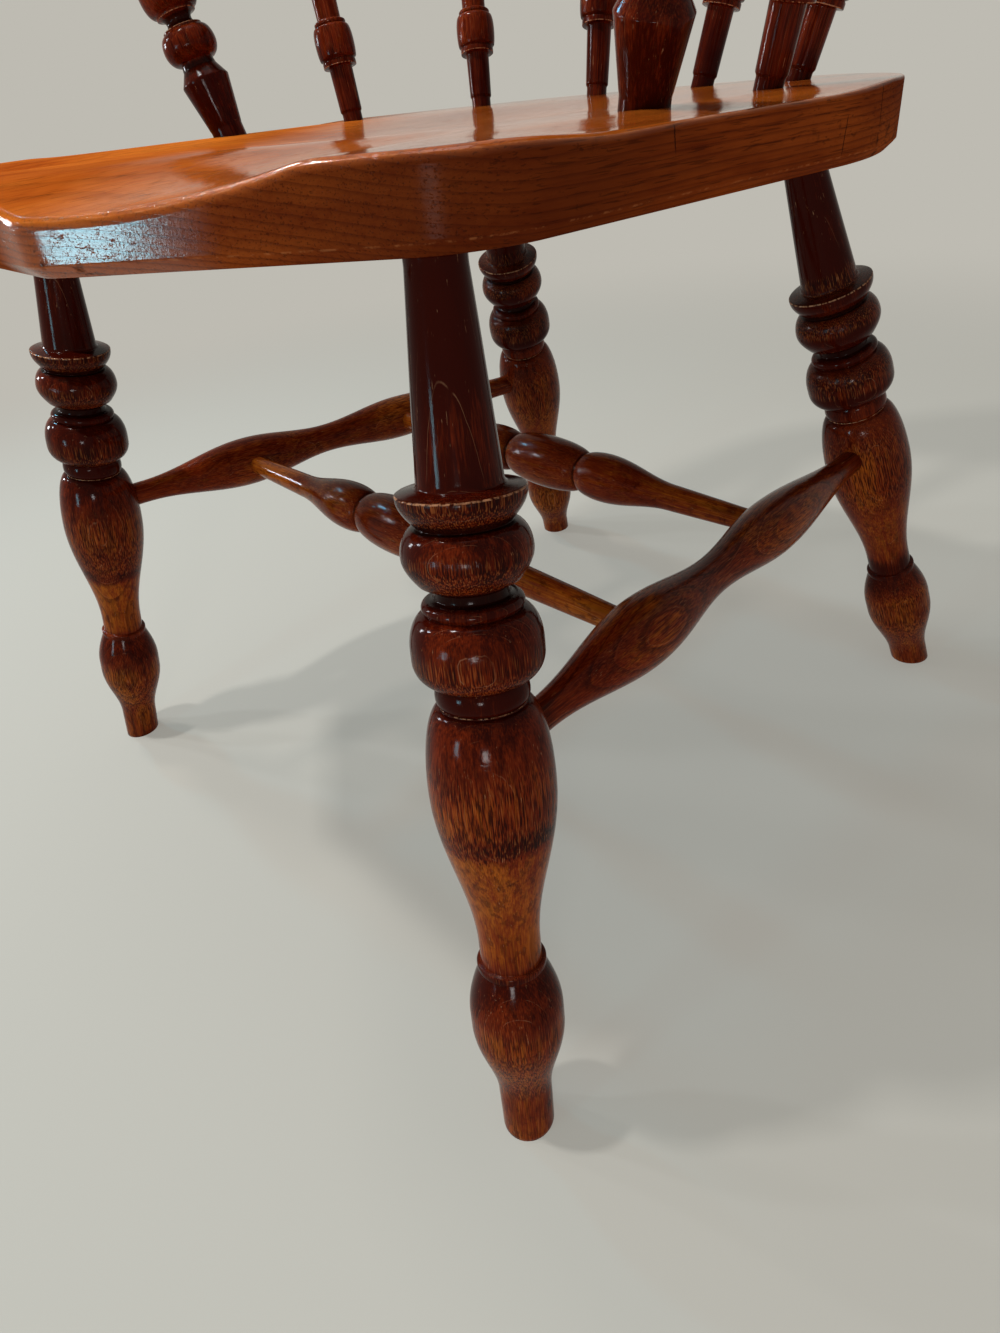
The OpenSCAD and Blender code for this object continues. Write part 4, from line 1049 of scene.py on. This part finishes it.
# Flat-sawn board: the rings run along its own Y, round a pith far below it
def boardWood(name, seed, top, side, turn=0.0, pithDepth=0.13, sockets=(), checks=(), use=None):
    look = plankLook
    m = Finish(name, seedShift(seed))
    place = m.where()
    spun = m.add("ShaderNodeVectorRotate", {"rotation_type": "Z_AXIS"}, {"Vector": place, "Angle": turn})
    x, y, z = m.parts(spun)
    drift, fine, fibre, pores, cloud = m.noises(spun, look, "drift fine fibre pores cloud")
    dirt, dents, wear = m.noises(place, look, "dirt dents wear")
    drift = (drift - 0.5) * 0.022
    radius = m.distance(m.joined(x + drift, 0.0, z + drift * 0.6), (0.02, 0.0, -pithDepth))
    phase = (radius / look["ringWidth"] + (fine - 0.5) * 0.4).part()
    late = phase.ramp(0.50, 0.96) * phase.ramp(1.0, 0.97)
    upper, under = m.attribute("top"), m.attribute("under")
    arris = m.attribute("arris").ramp(0.5, 0.95)
    lower, plain = 1.0 - upper, 1.0 - arris
    tone = (cloud * 1.1 + fibre * 0.5 - 0.3).ramp(0.15, 0.85)
    ticks = pores.ramp(0.60, 0.68)
    scuffs = dirt.ramp(0.56, 0.70) * cloud.ramp(0.48, 0.62)
    dents = dents.ramp(0.60, 0.66) * lower * cloud.ramp(0.44, 0.58)
    colour = m.blend(upper, m.blend(tone, *side), m.blend(tone, *top))
    polish = upper
    if use:
        px, py = m.parts(place)[:2]
        folded = m.joined(px.size(), py, 0.0)          # the left and the right alike
        corner = m.distance(folded, use["corner"]).ramp(*use["cornerReach"])
        colour = m.blend(corner * lower * use["cornerShow"], colour, look["late"])
        rubbed = px + py * 0.9 + (cloud - 0.5) * 0.06
        polish = upper * rubbed.ramp(use["dull"] - use["dullBlend"], use["dull"] + use["dullBlend"])
        nose = m.distance(folded, use["nose"]).ramp(*use["noseReach"])
        polish = polish.most(nose * lower * (1.0 - scuffs * 0.8) * use["noseShow"])
    colour = m.coats(
        colour, look,
        (late * (0.42 - upper * 0.22), "late"),
        (fibre.ramp(0.50, 0.75) * 0.38, "late"),
        (ticks * plain * 0.40, "grimeAndShade"),
        (scuffs * (1.0 - upper * 0.75) * plain * 0.66, "grimeAndShade"),
        (dents * 0.45, "grimeAndShade"))
    raw = m.blend(fibre.ramp(0.4, 0.7) * 0.5, m.blend(tone, *look["under"]), look["late"])
    colour = m.blend(under, colour, raw)
    # Worn bare wood on the arrises, also a painted highlight line
    colour = m.blend(arris * wear.ramp(0.46, 0.64) * 0.38, colour, look["bareAndHighlight"])
    height = (fibre * 0.25 - ticks * 0.5 - late * 0.10 - scuffs * 0.30 - dents * 0.8 + wear * 0.15
              + arris * wear * 0.8)
    patchy = 0.55 + 0.45 * wear
    waxShadeAndCracks = [m.distance(place, point).ramp(reach + 0.0035, reach + 0.0005) * patchy
            for point, reach in sockets]               # dark wax and painted shade where each upright stands
    waxShadeAndCracks += [(y + z * lean + (fibre - 0.5) * 0.001).near(along, 0.0006)
             * z.ramp(low, low + 0.004) * z.ramp(high, high - 0.003) * lower
             for along, low, high, lean in checks]
    # Dark wax and painted shade round the uprights, and dark drying cracks
    if waxShadeAndCracks:
        deepest = waxShadeAndCracks[0]
        for cut in waxShadeAndCracks[1:]:
            deepest = deepest.most(cut)
        colour = m.blend(deepest * 0.92, colour, look["grimeAndShade"])
        height = height - deepest * 1.2
    polish = polish.most(look["leastGloss"])
    surface = {"Base Color": colour, "Normal": m.bump(height, *look["bump"]),
               "Roughness": look["gloss"] + dirt * 0.08 + under * 0.45 + (1.0 - polish) * 0.10}
    return m.finish({**surface, "Specular IOR Level": look["sideSpecular"]},
                    {**surface, "Specular IOR Level": look["specular"]}, polish)


# Where each upright enters the seat, in the seat's own frame
toSeat = seatPiece.matrix_world.inverted()
sockets = [(tuple(toSeat @ rowPoint(place)), reach * mm) for place, reach in bases]
dress(seatPiece, boardWood("seat_polish", 3, plankLook["seatTop"], plankLook["seatSide"], pithDepth=0.80,
                           sockets=sockets, checks=seatChecks, use=seatUse))
for side in (left, right):
    dress(bows[side], boardWood("bow_polish_" + sideNames[side], 5 + side, plankLook["bowTop"],
                                plankLook["bowSide"], turn=math.radians(side * 25)))
dress(crestPiece, boardWood("crest_polish", 9, plankLook["bowTop"], plankLook["bowSide"],
                            turn=math.radians(90), pithDepth=0.3))

fittingLook = {
    "peg": (rgb(150, 92, 46), rgb(104, 54, 24)), "grimeAndShade": rgb(14, 6, 5), "pegSpecular": 0.40,
    "steel": (rgb(120, 116, 110), rgb(160, 156, 150)), "rusty": rgb(74, 38, 20),
    "grain": ((500.0, 900.0, 60.0), 4.0, 0.6), "dirt": ((120.0, 120.0, 120.0), 4.0, 0.6),
    "turned": ((700.0, 700.0, 40.0), 3.0), "rust": ((160.0, 160.0, 160.0), 5.0, 0.7),
}


def pegWood(name, seed):
    look = fittingLook
    m = Finish(name)
    place = m.where()
    grain = m.noise(place, *look["grain"], shift=(seed, 0.0, 0.0))
    dirt = m.noise(place, *look["dirt"])
    colour = m.blend(grain.ramp(0.35, 0.65), *look["peg"])
    colour = m.blend(dirt.ramp(0.55, 0.7) * 0.6, colour, look["grimeAndShade"])
    return m.finish({"Base Color": colour, "Roughness": 0.32 + dirt * 0.25,
                     "Specular IOR Level": look["pegSpecular"], "Normal": m.bump(grain, 0.3, 0.0004)})


def oldSteel(name):
    look = fittingLook
    m = Finish(name)
    turned, rust = m.noises(m.where(), look, "turned rust")
    rust = rust.ramp(0.50, 0.66)
    colour = m.blend(rust * 0.85, m.blend(turned, *look["steel"]), look["rusty"])
    return m.finish({"Base Color": colour, "Metallic": 1.0 - rust, "Roughness": 0.34 + rust * 0.45,
                     "Normal": m.bump(turned + rust, 0.3, 0.0003)})


for name, seed in (("bow_dowels", 10), ("stump_wedges", 12)):
    dress(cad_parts[name], pegWood(name + "_wood", seed))
dress(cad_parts["crest_screws"], oldSteel("screw_steel_worn"))
print("boards stained")

room = {
    "pale": rgb(190, 187, 178), "glow": 0.52, "shadowReach": (0.75, 1.7), "around": 64,
    "bands": (0.6, 1.2, 1.8, 2.4, 3.2, 5.0, 8.0, 14.0),
    "softBehind": 0.58, "dimmer": 0.36, "facing": (-0.6, 0.9),
}


# A pale floor that keeps the chair's shadow and runs out into a background of its own colour
def buildFloor():
    count = room["around"]
    turns = [2 * math.pi * i / count for i in range(count)]
    points = [(r * math.cos(a), r * math.sin(a), 0.0) for r in room["bands"] for a in turns]
    points.append((0.0, 0.0, 0.0))
    faces = [(len(points) - 1, i, (i + 1) % count) for i in range(count)]
    for a in range(0, len(points) - 1 - count, count):
        b = a + count
        faces += [(a + i, b + i, b + (i + 1) % count, a + (i + 1) % count) for i in range(count)]
    mesh = bpy.data.meshes.new("floor")
    mesh.from_pydata(points, [], faces)
    floor = newObject("floor", mesh)
    m = Finish("floor_paper")
    far = m.distance(m.where(), (0.0, 0.0, 0.0)).ramp(*room["shadowReach"])
    lit = m.add("ShaderNodeBsdfDiffuse", {}, {"Color": room["pale"]})
    glow = m.add("ShaderNodeEmission", {}, {"Color": room["pale"], "Strength": 1.0})
    both = m.add("ShaderNodeMixShader", {}, {0: room["glow"] + far * (1 - room["glow"]), 1: lit, 2: glow})
    m.add("ShaderNodeOutputMaterial", {}, {"Surface": both})
    floor.data.materials.append(m.owner)


# Lamps: place, aimed at, width, height, watts, colour
lamps = {
    "key": ((-0.36, -0.50, 1.75), (0.0, 0.0, 0.2), 0.09, 0.09, 15.0, (1.0, 0.99, 0.97)),
    "overhead": ((0.05, 0.10, 2.7), (0.0, 0.0, 0.0), 1.0, 1.0, 6.2, (1.0, 1.0, 1.0)),
    "window": ((-1.50, -1.17, 1.35), (0.0, 0.0, 0.25), 0.09, 0.14, 9.0, (0.86, 0.93, 1.0)),
    "door": ((-1.80, -0.90, 0.78), (0.1, -0.2, 0.30), 0.09, 0.30, 9.0, (0.88, 0.94, 1.0)),
    "sky": ((-1.75, -0.18, 1.57), (0.0, 0.0, 0.25), 0.12, 0.14, 9.0, (0.22, 0.72, 1.0)),
    "ceiling": ((-1.21, -0.15, 1.98), (0.2, -0.2, 0.30), 0.24, 0.17, 10.0, (1.0, 0.93, 0.88)),
    "front": ((-0.02, -2.25, 0.50), (0.1, -0.27, 0.44), 0.22, 0.46, 11.0, (0.38, 0.84, 1.0)),
    "behind": ((1.09, -1.08, 0.40), (0.2, -0.2, 0.20), 0.19, 0.17, 4.4, (1.0, 0.98, 0.96)),
}


def buildLamps():
    for name, (place, target, width, height, watts, colour) in lamps.items():
        lamp = bpy.data.lights.new(name, "AREA")
        lamp.shape = "RECTANGLE"
        lamp.size, lamp.size_y = width, height
        lamp.energy = watts
        lamp.color = colour
        holder = newObject(name, lamp)
        holder.location = place
        holder.rotation_euler = (Vector(target) - Vector(place)).to_track_quat("-Z", "Y").to_euler()
        holder.visible_camera = False


# The background is the floor's colour; what lights the chair from it is dimmer on the camera's side
def buildWorld():
    world = bpy.data.worlds.new("studio")
    bpy.context.scene.world = world
    m = Finish(world)
    way = m.add("ShaderNodeTexCoord", {}, {}, 0)
    toCamera = Vector((view["place"][0], view["place"][1], 0.0)).normalized()
    facing = m.add("ShaderNodeVectorMath", {"operation": "DOT_PRODUCT"}, {0: way, 1: tuple(toCamera)}, 1)
    soft = room["softBehind"] - facing.ramp(*room["facing"]) * room["dimmer"]
    seen, gloss, through = (m.add("ShaderNodeLightPath", {}, {}, i) for i in (0, 3, 6))
    strength = soft + (1.0 - soft) * seen.most(gloss).most(through)
    back = m.add("ShaderNodeBackground", {}, {"Color": room["pale"], "Strength": strength})
    m.add("ShaderNodeOutputWorld", {}, {"Surface": back})


buildFloor()
buildLamps()
buildWorld()


def buildCamera():
    yaw, down, roll = (math.radians(view[key]) for key in ("yaw", "down", "roll"))
    forward = Vector((-math.sin(yaw) * math.cos(down), math.cos(yaw) * math.cos(down), -math.sin(down)))
    across = Vector((math.cos(yaw), math.sin(yaw), 0))
    up = across.cross(forward)
    x = across * math.cos(roll) + up * math.sin(roll)
    y = up * math.cos(roll) - across * math.sin(roll)
    data = bpy.data.cameras.new("camera")
    data.sensor_width = view["sensor"]
    data.lens = view["focal"] / view["tall"] * view["sensor"]
    data.clip_start = 0.01
    data.clip_end = 60.0
    camera = newObject("camera", data)
    turn = Matrix((x, y, -forward)).transposed().to_4x4()
    camera.matrix_world = Matrix.Translation(view["place"]) @ turn
    bpy.context.scene.camera = camera


buildCamera()
bpy.context.scene.view_settings.view_transform = "Standard"
print("room lit")

bpy.context.view_layer.update()
